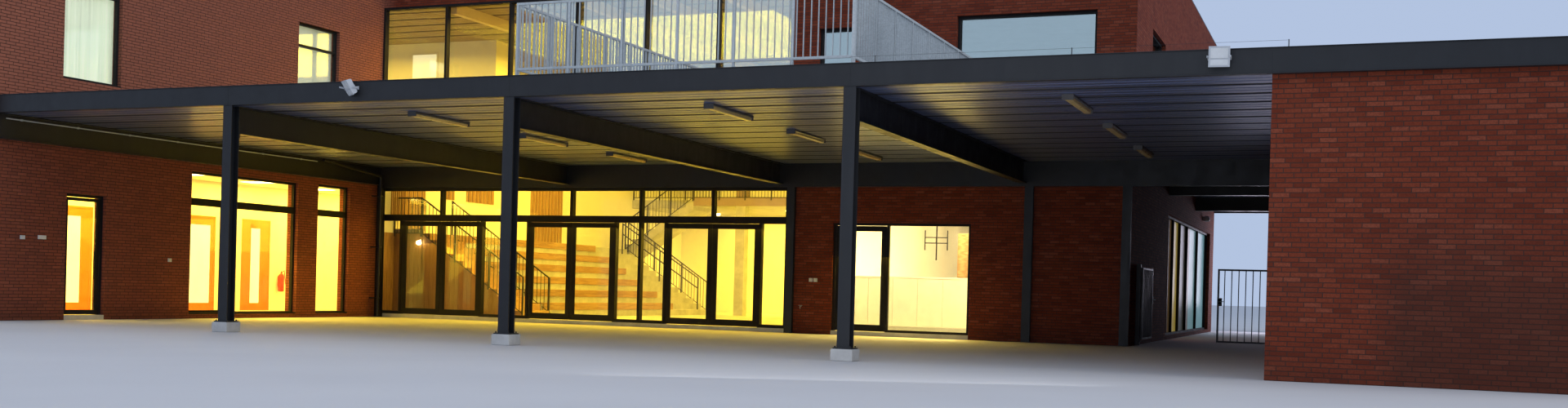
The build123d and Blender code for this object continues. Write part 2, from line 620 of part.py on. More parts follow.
def doors():
    """Entrance leaves, the room's door and the wing's door."""
    y0 = FACADE + LEAF_RECESS
    wing_door()
    low, high = FLOOR + 10, TRANSOM_LOW - LEAF_GAP
    width = DOORSET_HALF - SIDE_BAR - 1.5 * LEAF_GAP
    for i in range(3):
        middle = ENTRY_LEFT + (2 * i + 1) * HALF_BAY
        hinge = DOORSET_HALF - SIDE_BAR - LEAF_GAP
        left = glazed_leaf(width, low, high, y0)
        PARTS[f"entrance_door_{2 * i + 1}"] = Pos(middle - hinge, 0, 0) * left
        right = mirror(glazed_leaf(width, low, high, y0), about=Plane.YZ)
        PARTS[f"entrance_door_{2 * i + 2}"] = Pos(middle + hinge, 0, 0) * right
    x0, z1 = ROOM_OPENING[0], ROOM_OPENING[3]
    room_width = ROOM_POST - SIDE_BAR / 2 - x0 - SIDE_BAR - 2 * LEAF_GAP
    leaf = glazed_leaf(room_width, low, z1 - SIDE_BAR - LEAF_GAP, FACADE + ROOM_REVEAL + 10)
    PARTS["room_door"] = Pos(x0 + SIDE_BAR + LEAF_GAP, 0, 0) * leaf


def wing_door_frame():
    """Frame of the wing's narrow door."""
    y0, y1, z0, z1 = WING_DOOR
    x0 = WING_FACE - REVEAL - BAR
    sides = [block(x0, x0 + BAR, a, b, z0, z1) for a, b in ((y0, y0 + SIDE_BAR), (y1 - SIDE_BAR, y1))]
    head = block(x0, x0 + BAR, y0 + SIDE_BAR, y1 - SIDE_BAR, z1 - SIDE_BAR, z1)
    return joined([sides[0], head, sides[1]])


def wing_door():
    """The wing's narrow glazed door."""
    y0, y1, z0, z1 = WING_DOOR
    width = y1 - y0 - 2 * SIDE_BAR - 2 * LEAF_GAP
    leaf = glazed_leaf(width, z0 + 10, z1 - SIDE_BAR - LEAF_GAP, 0)
    leaf = Rot(0, 0, 90) * leaf
    PARTS["wing_door"] = Pos(WING_FACE - REVEAL - 5, y0 + SIDE_BAR + LEAF_GAP, 0) * leaf


def gate_leaf(width):
    """A barred leaf from x = 0 to width, centred on y = 0, with a lock box at its free edge."""
    low, high = GATE_LOW, GATE_TOP
    half = GATE_BAR / 2
    pieces = [block(0, width, -half, half, z, z + GATE_BAR) for z in (low, high - GATE_BAR)]
    pieces += [block(a, a + GATE_BAR, -half, half, low, high) for a in (0, width - GATE_BAR)]
    for i in range(1, GATE_BAR_COUNT):
        x = i * width / GATE_BAR_COUNT
        pieces.append(block(x - 10, x + 10, -10, 10, low + GATE_BAR, high - GATE_BAR))
    pieces.append(block(width - 100, width, -LOCK_HALF, LOCK_HALF, LOCK_LOW, LOCK_LOW + 180))
    pieces.append(pivot(0, half, low - BRACKET_DROP, low + half))
    return joined(pieces)


def gate():
    """Double gate across the passage: the left leaf stands open along the block."""
    half = GATE_POST / 2
    left_face, right_face = BLOCK_SIDE + GATE_POST, ANNEX_FACE - GATE_POST
    posts = []
    for inner, out in ((left_face, -1), (right_face, 1)):
        post = block(inner, inner + out * GATE_POST, GATE_LINE - half, GATE_LINE + half, 0, GATE_TOP + 70)
        bracket_top = GATE_LOW - BRACKET_DROP
        bracket = block(inner, inner - out * 20, GATE_LINE + 8, GATE_LINE + 32, bracket_top - 30, bracket_top)
        posts.append(post + bracket)
    PARTS["gate_posts"] = Compound(children=posts)
    width = (right_face - left_face) / 2 - 2 * LEAF_GAP
    right = mirror(gate_leaf(width), about=Plane.YZ)
    PARTS["gate_leaf_right"] = Pos(right_face - LEAF_GAP, GATE_LINE, 0) * right
    left = Rot(0, 0, 90) * gate_leaf(width)
    offset = GATE_BAR / 2
    PARTS["gate_leaf_left"] = Pos(left_face + LEAF_GAP + offset, GATE_LINE + offset, 0) * left


def steps(foot, near, far, rise, tread, count, base):
    """Solid steps rising towards the wing."""
    pieces = []
    for i in range(count):
        a = foot - i * tread
        pieces.append(block(a - tread, a, near, far, base, base + (i + 1) * rise))
    return joined(pieces)


def upper_flight():
    """The flight from the landing to the gallery, with a sloped underside."""
    rise = (GALLERY_FLOOR - LANDING) / UPPER_RISERS
    line = [(UPPER_STAIR_FOOT, LANDING - WAIST), (UPPER_STAIR_FOOT, LANDING)]
    for i in range(1, UPPER_RISERS):
        x = UPPER_STAIR_FOOT + i * TREAD
        line += [(x - TREAD, LANDING + i * rise), (x, LANDING + i * rise)]
    line.append((UPPER_STAIR_TOP, LANDING + (UPPER_RISERS - 1) * rise - WAIST))
    corners = [(x, UPPER_STAIR_NEAR, z) for x, z in line]
    width = UPPER_STAIR_FAR - UPPER_STAIR_NEAR
    return extrude(make_face(Polyline(*corners, close=True)), amount=width, dir=(0, 1, 0))


def hall_inside():
    """Tribune between two stairs, the stair to the gallery and their railings."""
    seats = steps(TRIBUNE_FOOT, TRIBUNE_NEAR, TRIBUNE_FAR, BIG_RISE, BIG_TREAD, BIG_STEPS, FLOOR)
    top_edge = TRIBUNE_FOOT - BIG_STEPS * BIG_TREAD
    PARTS["tribune"] = seats + block(WING_FACE, top_edge, TRIBUNE_NEAR, TRIBUNE_FAR, FLOOR, LANDING)
    flight = steps(TRIBUNE_FOOT, TRIBUNE_FAR, HALL_STAIR_FAR, RISE, TREAD, STAIR_STEPS, FLOOR)
    top_landing = block(WING_FACE, HALL_STAIR_TOP, TRIBUNE_FAR, HALL_STAIR_FAR, FLOOR, LANDING)
    PARTS["hall_stair"] = flight + top_landing
    near, far = FACADE_STAIR_NEAR, FACADE_STAIR_FAR
    facade_side = steps(FACADE_STAIR_FOOT, near, far, RISE, FACADE_TREAD, STAIR_STEPS, FLOOR)
    facade_landing = block(WING_FACE, FACADE_STAIR_TOP, near, TRIBUNE_NEAR, FLOOR, LANDING)
    PARTS["facade_stair"] = facade_side + facade_landing
    turn = block(WING_FACE, UPPER_STAIR_FOOT, HALL_STAIR_FAR, UPPER_STAIR_FAR, FLOOR, LANDING)
    PARTS["upper_stair"] = upper_flight() + turn


def sloped_rail(x0, z0, x1, z1, y):
    """A handrail between two points in the plane of a flight's edge."""
    corners = [(x0, y, z0), (x1, y, z1), (x1, y, z1 + RAIL), (x0, y, z0 + RAIL)]
    return extrude(make_face(Polyline(*corners, close=True)), amount=RAIL, dir=(0, 1, 0))


def guard(y, *points):
    """A handrail on posts along (x, z) points, which give the level that the posts stand on."""
    pieces = []
    for (x0, z0), (x1, z1) in zip(points, points[1:]):
        pieces.append(sloped_rail(x0, z0 + GUARD - RAIL, x1, z1 + GUARD - RAIL, y))
        count = max(1, round((x1 - x0) / GUARD_POST_GAP))
        for i in range(count + 1):
            x = x0 + (x1 - x0 - RAIL) * i / count
            foot = z0 + (z1 - z0) * (x - x0) / (x1 - x0)
            pieces.append(block(x, x + RAIL, y, y + RAIL, foot, foot + GUARD - RAIL / 2))
    return joined(pieces)


def middle_rail():
    """Two rails on posts that stand on treads of the hall's stair."""
    pieces = []
    ends = []
    for step in MIDDLE_RAIL_POSTS:
        x = TRIBUNE_FOOT - (step - 1) * TREAD - RAIL
        foot = FLOOR + step * RISE
        ends.append((x, foot))
        pieces.append(block(x, x + RAIL, MIDDLE_RAIL_LINE, MIDDLE_RAIL_LINE + RAIL, foot, foot + GUARD - RAIL / 2))
    (x1, z1), (x0, z0) = ends[0], ends[-1]
    for height in (GUARD - RAIL, MIDDLE_RAIL_LOW):
        pieces.append(sloped_rail(x0, z0 + height, x1 + RAIL, z1 + height, MIDDLE_RAIL_LINE))
    return joined(pieces)


def hall_railings():
    """Guards fixed to the sides of the flights and of the gallery, and the stair's middle rail."""
    high, top = LANDING - GUARD_SKIRT, GALLERY_FLOOR - GUARD_SKIRT
    facade_line = [(WING_FACE, high), (FACADE_STAIR_TOP, high), (FACADE_STAIR_FOOT, FLOOR)]
    facade_far_line = [(FACADE_STAIR_TOP + RAIL, high), (FACADE_STAIR_FOOT, FLOOR)]
    stair_line = [(HALL_STAIR_TOP + TREAD, high), (TRIBUNE_FOOT, FLOOR)]
    upper_line = [(UPPER_STAIR_FOOT, high), (UPPER_STAIR_TOP, top), (HALL_SIDE, top)]
    well_line = [(WING_FACE, GALLERY_FLOOR), (UPPER_STAIR_TOP, GALLERY_FLOOR)]
    guards = [
        guard(FACADE_STAIR_NEAR - RAIL, *facade_line),
        guard(FACADE_STAIR_FAR, *facade_far_line),
        guard(HALL_STAIR_FAR, *stair_line),
        guard(UPPER_STAIR_NEAR - RAIL, *upper_line),
        guard(UPPER_STAIR_FAR + RAIL, *well_line),
        middle_rail(),
    ]
    PARTS["hall_railings"] = Compound(children=guards)


brick_walls()
coping()
corridor()
annex()
floors_and_roofs()
canopy()
fittings()
terrace_railings()
entrance()
hall_curtain_wall()
windows()
side_glazing()
doors()
gate()
hall_inside()
hall_railings()

os.makedirs("parts", exist_ok=True)
for name, shape in PARTS.items():
    export_step(SHIFT * shape, f"parts/{name}.step")
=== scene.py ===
"""Looks of the school building: finishes, glazing, railings, fittings, lit rooms, camera and light."""
import json
import math

import bmesh
import bpy
from mathutils import Matrix, Vector


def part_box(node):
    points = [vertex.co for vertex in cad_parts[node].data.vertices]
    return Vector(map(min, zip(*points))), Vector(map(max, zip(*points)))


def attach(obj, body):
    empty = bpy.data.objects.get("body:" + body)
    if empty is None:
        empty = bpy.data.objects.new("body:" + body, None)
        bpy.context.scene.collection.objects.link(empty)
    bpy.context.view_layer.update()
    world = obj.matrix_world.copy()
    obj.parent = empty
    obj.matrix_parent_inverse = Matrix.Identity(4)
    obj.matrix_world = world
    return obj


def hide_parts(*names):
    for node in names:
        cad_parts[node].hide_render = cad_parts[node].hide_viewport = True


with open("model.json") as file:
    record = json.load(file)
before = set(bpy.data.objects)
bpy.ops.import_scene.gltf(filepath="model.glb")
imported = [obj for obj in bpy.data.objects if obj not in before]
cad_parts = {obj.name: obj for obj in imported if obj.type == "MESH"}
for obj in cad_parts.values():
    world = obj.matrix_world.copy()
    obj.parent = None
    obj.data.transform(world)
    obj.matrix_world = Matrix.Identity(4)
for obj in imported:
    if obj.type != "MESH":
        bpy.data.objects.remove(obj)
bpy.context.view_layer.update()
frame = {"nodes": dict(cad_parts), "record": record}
NODES = frame["nodes"]

# Places read from the fixed frame, in metres.
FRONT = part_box("fascia_front")[0].y
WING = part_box("wing_court_wall")[1].x
WING_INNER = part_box("wing_court_wall")[0].x
LEFT_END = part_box("wing_outer_wall")[0].x
RIGHT_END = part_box("fascia_side")[1].x
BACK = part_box("back_wall")[1].y
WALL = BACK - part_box("back_wall")[0].y
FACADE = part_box("hall_edge_beam")[0].y
HALL_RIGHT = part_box("hall_edge_beam")[1].x
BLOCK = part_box("block_side_wall")[1].x
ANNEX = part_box("annex_end_walls")[0].x
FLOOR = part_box("ground_floors")[1].z
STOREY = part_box("canopy_deck")[0].z
FASCIA_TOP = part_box("fascia_front")[1].z
ROOF_UNDER, ROOF_TOP = (corner.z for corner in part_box("roof_slabs"))
GRID = 6.0
COLUMN_ROWS = (-GRID, 0.0, GRID)

# Sill and head of the plain windows, and the wing's windows to the court as (y0, y1, sill, head),
# with y measured back from the canopy's front.
LOW_WINDOW, HIGH_WINDOW = (1.0, 3.3), (5.06, 7.55)
WING_WINDOWS = (
    (5.22, 8.79, 0.1, 3.44),
    (9.53, 10.78, 0.1, 3.48),
    (1.64, 3.12, *HIGH_WINDOW),
    (8.65, 10.2, *HIGH_WINDOW),
)
PLAIN_WINDOW = 2.4
REVEAL = 0.1
FRAME_DEEP, GLAZING_DEEP = 0.08, 0.17


def deep(distance):
    """Row y of a point that far behind the canopy's front face."""
    return FRONT + distance


# Rooms between their walls, as (x0, x1, y0, y1).
WING_FRONT = deep(-0.25)
WING_ROOM = (LEFT_END + WALL, WING_INNER, WING_FRONT + WALL, BACK - WALL)
BLOCK_ROOM = (HALL_RIGHT + WALL, BLOCK - WALL, FACADE + WALL, BACK - WALL)


def scaled(colour, share):
    """A colour darkened to a share of itself."""
    return tuple(c * share for c in colour)


class Paint:
    """Builds one material from small nodes joined to a principled shader."""

    def __init__(self, name, colour=(0.5, 0.5, 0.5), rough=0.5, metal=0.0):
        self.material = bpy.data.materials.new(name)
        self.material.use_nodes = True
        self.tree = self.material.node_tree
        self.shader = self.tree.nodes["Principled BSDF"]
        self.set("Base Color", (*colour, 1.0))
        self.set("Roughness", rough)
        self.set("Metallic", metal)
        self.place = self.node("TexCoord", out=3)

    def set(self, socket, value):
        """Give a shader socket a constant or a link."""
        target = self.shader.inputs[socket]
        if isinstance(value, bpy.types.NodeSocket):
            self.tree.links.new(value, target)
        else:
            target.default_value = value

    def node(self, kind, *inputs, out=0, **settings):
        """Add a node, fill its inputs in order and return one output."""
        made = self.tree.nodes.new("ShaderNode" + kind)
        for key, value in settings.items():
            setattr(made, key, value)
        for socket, value in zip(made.inputs, inputs):
            if isinstance(value, bpy.types.NodeSocket):
                self.tree.links.new(value, socket)
            elif value is not None:
                socket.default_value = value
        return made.outputs[out]

    def math(self, operation, a, b=0.0, c=0.0):
        return self.node("Math", a, b, c, operation=operation)

    def plus(self, a, b):
        return self.math("ADD", a, b)

    def minus(self, a, b):
        return self.math("SUBTRACT", a, b)

    def times(self, a, b):
        return self.math("MULTIPLY", a, b)

    def split(self, vector):
        """The three parts of a vector."""
        made = self.tree.nodes.new("ShaderNodeSeparateXYZ")
        self.tree.links.new(vector, made.inputs[0])
        return tuple(made.outputs)

    def noise(self, scale, detail=3.0, rough=0.5, at=None):
        return self.node("TexNoise", at or self.place, None, scale, detail, rough)

    def stretched(self, x, y, z):
        """The place scaled along each axis, for streaks and grain."""
        return self.node("Mapping", self.place, None, None, (x, y, z))

    def mix(self, share, a, b):
        """Blend two colours."""
        made = self.tree.nodes.new("ShaderNodeMix")
        made.data_type = "RGBA"
        for index, value in ((0, share), (6, a), (7, b)):
            if isinstance(value, bpy.types.NodeSocket):
                self.tree.links.new(value, made.inputs[index])
            else:
                made.inputs[index].default_value = (*value, 1.0) if index else value
        return made.outputs[2]

    def ramp(self, share, *stops):
        """Colours along a share from 0 to 1."""
        made = self.tree.nodes.new("ShaderNodeValToRGB")
        self.tree.links.new(share, made.inputs[0])
        elements = made.color_ramp.elements
        while len(elements) < len(stops):
            elements.new(0.5)
        for element, (position, colour) in zip(elements, stops):
            element.position = position
            element.color = (*colour, 1.0)
        return made.outputs[0]

    def spread(self, value, low, high, to_low=0.0, to_high=1.0):
        """Stretch a value from one range to another, clamped."""
        return self.node("MapRange", value, low, high, to_low, to_high)

    def bump(self, height, distance, strength=1.0):
        self.set("Normal", self.node("Bump", strength, distance, None, height))


def inside_rooms(paint, x, y):
    """1 where a point is inside one of the rooms, so that a wall's inner face is plastered."""
    edge = 0.002
    rooms = (
        WING_ROOM,
        (WING_INNER - 0.1, WING, FACADE + GLAZING_DEEP, deep(17.6)),
        (WING, HALL_RIGHT, FACADE + GLAZING_DEEP, BACK - WALL),
        BLOCK_ROOM,
        (ANNEX + WALL, RIGHT_END - WALL, deep(0.1) + WALL, BACK - WALL),
    )
    total = None
    for x0, x1, y0, y1 in rooms:
        wide = paint.math("ABSOLUTE", paint.minus(x, (x0 + x1) / 2))
        long = paint.math("ABSOLUTE", paint.minus(y, (y0 + y1) / 2))
        within_x = paint.math("LESS_THAN", wide, (x1 - x0) / 2 + edge)
        within_y = paint.math("LESS_THAN", long, (y1 - y0) / 2 + edge)
        both = paint.times(within_x, within_y)
        total = both if total is None else paint.math("MAXIMUM", total, both)
    return total


BRICK_LONG, COURSE, JOINT = 0.222, 0.0667, 0.010


def brick():
    """Hand-moulded red brick in courses with recessed joints, and plaster on the inner faces."""
    p = Paint("brick", rough=0.9)
    x, y, z = p.split(p.place)
    nx, _, nz = p.split(p.node("NewGeometry", out=3))
    faces_side = p.math("GREATER_THAN", p.math("ABSOLUTE", nx), 0.7)
    faces_up = p.math("GREATER_THAN", p.math("ABSOLUTE", nz), 0.7)
    along = p.plus(x, p.times(faces_side, p.minus(y, x)))
    up = p.plus(z, p.times(faces_up, p.minus(y, z)))
    level = p.math("DIVIDE", up, COURSE)
    row = p.math("FLOOR", level)
    jog = p.node("TexWhiteNoise", None, row, noise_dimensions="1D")
    shift = p.plus(p.times(p.math("MODULO", row, 2.0), 0.5), p.times(jog, 0.30))
    run = p.plus(p.math("DIVIDE", along, BRICK_LONG), shift)
    column = p.math("FLOOR", run)
    cell = p.node("CombineXYZ", column, row, p.times(faces_side, 31.0))
    tint = p.node("TexWhiteNoise", cell)
    tint_two = p.node("TexWhiteNoise", p.node("VectorMath", cell, (17.3, 5.1, 2.7), operation="ADD"))
    gap_along = p.times(p.math("PINGPONG", run, 0.5), BRICK_LONG)
    gap_up = p.times(p.math("PINGPONG", level, 0.5), COURSE)
    ragged = p.times(p.minus(p.noise(60.0, 2.0), 0.5), 0.006)
    gap = p.plus(p.math("MINIMUM", gap_along, gap_up), ragged)
    face = p.spread(gap, JOINT / 2 - 0.001, JOINT / 2 + 0.0025)
    tones = p.ramp(
        tint,
        (0.0, (0.145, 0.029, 0.014)),
        (0.2, (0.185, 0.037, 0.017)),
        (0.55, (0.215, 0.044, 0.020)),
        (0.85, (0.240, 0.052, 0.024)),
        (1.0, (0.275, 0.070, 0.036)),
    )
    grain = p.noise(38.0, 5.0, 0.65)
    tones = p.mix(p.spread(grain, 0.35, 0.75, 0.0, 0.65), tones, (0.10, 0.018, 0.009))
    clouds = p.noise(0.9, 4.0, 0.6)
    scum = p.times(p.spread(clouds, 0.5, 0.72), p.spread(tint_two, 0.2, 1.0, 0.05, 0.15))
    tones = p.mix(scum, tones, (0.36, 0.15, 0.09))
    # Paler bricks on the wing, part a dustier brick and part painted light, paler still above the canopy;
    # then darker, moist bricks near the ground and a darker band low on the annex.
    dusty_and_painted_light = p.times(p.spread(x, WING + 0.1, WING + 0.4, 1.0, 0.0), p.spread(z, 3.6, 4.6, 0.25, 0.55))
    tones = p.mix(dusty_and_painted_light, tones, (0.42, 0.17, 0.11))
    ragged_height = p.plus(z, p.times(p.noise(1.7, 3.0), 0.5))
    low_darkening = p.spread(ragged_height, 0.2, 0.75, 0.35, 0.0)
    # A darker band below about 2 m on the right part of the annex.
    shade = p.times(p.spread(ragged_height, 1.5, 2.5, 0.6, 0.0), p.spread(x, ANNEX + 1.2, ANNEX + 1.7))
    low_darkening = p.math("MAXIMUM", low_darkening, shade)
    wall = p.mix(face, p.mix(grain, (0.055, 0.024, 0.018), (0.095, 0.046, 0.034)), tones)
    wall = p.mix(low_darkening, wall, (0.06, 0.026, 0.018))
    inside = inside_rooms(p, x, y)
    plaster_tone = p.mix(p.noise(6.0, 4.0), (0.80, 0.78, 0.72), (0.87, 0.85, 0.80))
    p.set("Base Color", p.mix(inside, wall, plaster_tone))
    texture = p.plus(p.times(tint_two, 0.35), p.times(grain, 0.35))
    outside = p.times(p.plus(face, texture), p.minus(1.0, inside))
    p.bump(p.plus(outside, p.times(p.noise(90.0, 2.0), 0.04)), 0.005)
    p.set("Specular IOR Level", 0.12)
    return p.material


def plaster():
    p = Paint("plaster", rough=0.8)
    p.set("Base Color", p.mix(p.noise(5.0, 5.0), (0.78, 0.76, 0.70), (0.86, 0.84, 0.79)))
    p.bump(p.noise(120.0, 3.0), 0.0008)
    return p.material


def concrete(name="concrete", dark=(0.40, 0.39, 0.37), light=(0.60, 0.59, 0.56)):
    """Pale cast concrete with cloudy tone, pores and fine dirt."""
    p = Paint(name, rough=0.78)
    cloud = p.noise(2.3, 6.0, 0.62)
    tone = p.mix(p.spread(cloud, 0.3, 0.7), dark, light)
    pores = p.node("TexVoronoi", p.place, None, 85.0)
    pore_pit_and_shade = p.spread(pores, 0.05, 0.16, 0.6, 0.0)
    # Painted shade: the pores are darkened as well as sunk by the bump.
    tone = p.mix(pore_pit_and_shade, tone, scaled(dark, 0.45))
    stain = p.spread(p.noise(0.7, 4.0, 0.7), 0.55, 0.8, 0.0, 0.35)
    p.set("Base Color", p.mix(stain, tone, (0.26, 0.25, 0.23)))
    p.set("Roughness", p.spread(cloud, 0.2, 0.8, 0.68, 0.86))
    p.bump(p.minus(p.times(p.noise(40.0, 5.0), 0.5), pore_pit_and_shade), 0.002)
    return p.material


def roofing():
    """Slate-chipped bitumen sheet."""
    p = Paint("roofing", rough=0.9)
    chips = p.noise(420.0, 2.0, 0.6)
    patches = p.noise(0.8, 5.0, 0.6)
    tone = p.mix(p.spread(chips, 0.35, 0.7), (0.035, 0.036, 0.040), (0.13, 0.13, 0.135))
    tone = p.mix(p.spread(patches, 0.45, 0.75, 0.0, 0.5), tone, (0.19, 0.185, 0.17))
    p.set("Base Color", tone)
    p.bump(chips, 0.0015)
    return p.material


def coated_steel(name, colour, rough=0.42, dust=0.35, shine=0.5):
    """Powder-coated metal: fine orange peel, cloudy sheen and dust that gathers in streaks."""
    p = Paint(name, colour, rough, 0.0)
    streaks = p.noise(1.0, 5.0, 0.65, p.stretched(7.0, 7.0, 0.7))
    cloud = p.noise(3.1, 4.0, 0.6)
    pale = tuple(min(1.0, c * 1.9 + 0.03) for c in colour)
    tone = p.mix(p.spread(streaks, 0.45, 0.78, 0.0, dust), colour, pale)
    tone = p.mix(p.spread(cloud, 0.3, 0.7, 0.0, 0.4), tone, scaled(colour, 0.72))
    p.set("Base Color", tone)
    p.set("Roughness", p.spread(p.plus(cloud, streaks), 0.7, 1.3, rough - 0.1, rough + 0.16))
    p.set("Specular IOR Level", shine)
    p.bump(p.noise(260.0, 2.0), 0.0006, 0.6)
    return p.material


def zinc(name, colour, metal=0.85, rough=0.42, spangle=22.0, contrast=1.0):
    """Galvanised steel with spangle and dull patches."""
    p = Paint(name, colour, rough, metal)
    flakes = p.node("TexVoronoi", p.place, None, spangle, out=1)
    flake = p.split(flakes)[0]
    dull = p.noise(1.6, 5.0, 0.65)
    tone = p.mix(p.spread(flake, 0.0, 1.0, 0.0, 0.4 * contrast), colour, scaled(colour, 0.68))
    tone = p.mix(p.spread(dull, 0.5, 0.8, 0.0, 0.45 * contrast), tone, scaled(colour, 0.55))
    p.set("Base Color", tone)
    p.set("Roughness", p.spread(p.plus(flake, dull), 0.3, 1.6, rough - 0.12, rough - 0.12 + 0.32 * contrast))
    p.bump(p.noise(70.0, 3.0), 0.0008, 0.5 * contrast)
    return p.material


def glass(name, colour=(0.86, 0.97, 0.89), low=0.02, high=0.45, rough=0.02, sky=0.0, clear_left=False):
    """A pane that mirrors the sky a little when faced and more when seen along.

    Panes upstairs mirror more by the share called sky, except for the wing's and the hall's two left ones:
    a painted boost of their reflection. Below 4.3 m the mirror's colour is dimmed to 0.3, painted shade
    on the panes' reflection.
    """
    p = Paint(name, colour, rough, 1.0)
    x, _, z = p.split(p.place)
    facing = p.node("LayerWeight", 0.2, out=1)
    smear = p.noise(1.3, 4.0, 0.6, p.stretched(1.0, 1.0, 0.5))
    film = p.times(p.spread(smear, 0.35, 0.8), 0.04)
    clear_to = (-8.1, -7.7, 0.10, 1.0) if clear_left else (WING, WING + 0.3, 0.05, 1.0)
    # Painted reflection: panes upstairs mirror more by the share sky.
    upstairs = p.times(p.spread(z, 4.3, 4.6, 0.0, sky), p.spread(x, *clear_to))
    # Painted shade: the mirror's colour is dimmed to 0.3 below 4.3 m.
    p.set("Base Color", p.mix(p.spread(z, 4.3, 4.6), scaled(colour, 0.3), colour))
    share = p.plus(p.spread(facing, 0.0, 1.0, low, high), film)
    p.set("Alpha", p.plus(share, upstairs))
    p.set("Roughness", p.spread(smear, 0.2, 0.9, rough, rough + 0.05))
    p.bump(p.noise(0.55, 1.0), 0.004, 0.2)
    return p.material


def tinted_glass():
    """The passage screen: panes of several colours along its length, each with a painted glow in its own
    colour.
    """
    p = Paint("tinted_panel", rough=0.3)
    y = p.split(p.place)[1]
    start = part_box("side_glazing_frame")[0].y
    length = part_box("side_glazing_frame")[1].y - start
    share = p.math("DIVIDE", p.minus(y, start), length)
    bands = p.ramp(
        share,
        (0.0, (0.62, 0.085, 0.035)),
        (0.087, (0.10, 0.055, 0.030)),
        (0.191, (0.60, 0.46, 0.07)),
        (0.33, (0.055, 0.060, 0.050)),
        (0.496, (0.16, 0.10, 0.055)),
        (0.60, (0.20, 0.42, 0.44)),
    )
    bands.node.color_ramp.interpolation = "CONSTANT"
    cloud = p.noise(0.9, 4.0, 0.6, p.stretched(1.0, 1.4, 0.6))
    p.set("Base Color", p.mix(p.spread(cloud, 0.4, 0.8, 0.0, 0.35), bands, (0.45, 0.50, 0.48)))
    # Painted light: each pane glows in its own colour, though the screen is no lamp.
    p.set("Emission Color", bands)
    p.set("Emission Strength", 0.25)
    p.set("Alpha", p.spread(cloud, 0.3, 0.8, 0.88, 0.96))
    p.set("Roughness", p.spread(cloud, 0.2, 0.9, 0.25, 0.4))
    p.set("Specular IOR Level", 0.02)
    return p.material


def wood(name, light=(0.55, 0.34, 0.16), dark=(0.34, 0.18, 0.075), along=(0.8, 9.0, 9.0)):
    """Oiled wood with grain along one axis."""
    p = Paint(name, light, 0.45)
    place = p.stretched(*along)
    grain = p.noise(4.0, 6.0, 0.6, place)
    rings = p.node("TexWave", place, 1.6, 6.0, 3.0, 1.2)
    share = p.plus(p.times(grain, 0.65), p.times(rings, 0.35))
    p.set("Base Color", p.ramp(share, (0.25, dark), (0.75, light)))
    p.set("Roughness", p.spread(grain, 0.3, 0.7, 0.38, 0.58))
    p.bump(share, 0.0008, 0.6)
    return p.material


def glow(name, colour, strength):
    """A glowing surface, a little brighter in the middle of its cells: lamp diffusers, and panes given a
    painted glow.
    """
    p = Paint(name, (0.85, 0.85, 0.82), 0.4)
    cells = p.node("TexVoronoi", p.place, None, 60.0)
    p.set("Emission Color", p.mix(p.spread(cells, 0.0, 0.6), colour, scaled(colour, 0.8)))
    p.set("Emission Strength", strength)
    p.bump(cells, 0.001, 0.4)
    return p.material


def plastic(name, colour, rough=0.4):
    """Moulded plastic with a fine texture."""
    p = Paint(name, colour, rough)
    cloud = p.noise(9.0, 3.0)
    p.set("Base Color", p.mix(p.spread(cloud, 0.3, 0.7), colour, scaled(colour, 0.86)))
    p.set("Roughness", p.spread(cloud, 0.3, 0.7, rough, rough + 0.12))
    p.bump(p.noise(300.0, 2.0), 0.0004, 0.5)
    return p.material


def blind_slats():
    """Thin slats with a painted glow for light from the room behind, brighter and greener in the window near
    the front, and painted shade in their folds.
    """
    p = Paint("blind", (0.70, 0.76, 0.62), 0.6)
    y = p.split(p.place)[1]
    lit = p.mix(p.spread(y, deep(3.2), deep(8.6)), (0.58, 0.65, 0.47), (0.22, 0.21, 0.14))
    folds = p.noise(9.0, 3.0, 0.6, p.stretched(1.0, 1.6, 0.03))
    shade = p.spread(folds, 0.35, 0.7, 0.0, 0.6)
    p.set("Emission Color", p.mix(shade, lit, (0.20, 0.21, 0.15)))
    p.set("Emission Strength", 0.85)
    p.bump(p.noise(300.0, 2.0), 0.0004, 0.5)
    return p.material


PAINTS = {
    "brick": brick(),
    "plaster": plaster(),
    "concrete": concrete(),
    "roofing": roofing(),
    "dark_steel": coated_steel("dark_steel", (0.018, 0.019, 0.021), 0.42, 0.12, 0.35),
    "galvanised": zinc("galvanised", (0.145, 0.178, 0.31), 0.6, 0.45, 34.0, 0.3),
    "railing": zinc("railing", (0.52, 0.56, 0.56), 0.55, 0.5, 60.0),
    "inner_railing": coated_steel("inner_railing", (0.045, 0.042, 0.040), 0.4, 0.15),
    "frame": coated_steel("frame", (0.022, 0.020, 0.020), 0.5, 0.12, 0.06),
    "glass": glass("glass", sky=0.48),
    "tinted_panel": tinted_glass(),
    "lamp": coated_steel("lamp", (0.52, 0.55, 0.58), 0.4, 0.2),
    "orange_door": coated_steel("orange_door", (0.80, 0.17, 0.012), 0.4, 0.08),
    "wood": wood("wood"),
}
HALL_GLASS = glass("hall_glass", sky=0.45, clear_left=True)
# Painted light: the diffusers are coloured golden for the warm light they catch.
STRIP_COVER_PAINTED_WARM_LIGHT = plastic("strip_cover_painted_warm_light", (0.66, 0.48, 0.20), 0.25)
# Painted light: the frosted door slots glow as if lit from the room behind.
FROSTED_PAINTED_GLOW = glow("frosted_slot_painted_glow", (1.0, 0.86, 0.42), 0.95)
LAMP_GLASS = plastic("lamp_glass", (0.72, 0.74, 0.74), 0.2)
WHITE_BOX = plastic("white_box", (0.72, 0.72, 0.70))
RED_BOTTLE = plastic("red_bottle", (0.62, 0.03, 0.02), 0.25)
WHITE_UNITS = coated_steel("white_units", (0.80, 0.80, 0.76), 0.35, 0.05)
WARM_GLOW = glow("warm_glow", (1.0, 0.74, 0.32), 14.0)
BEAM_PAINT = coated_steel("beam_paint", (0.62, 0.50, 0.36), 0.5, 0.1)
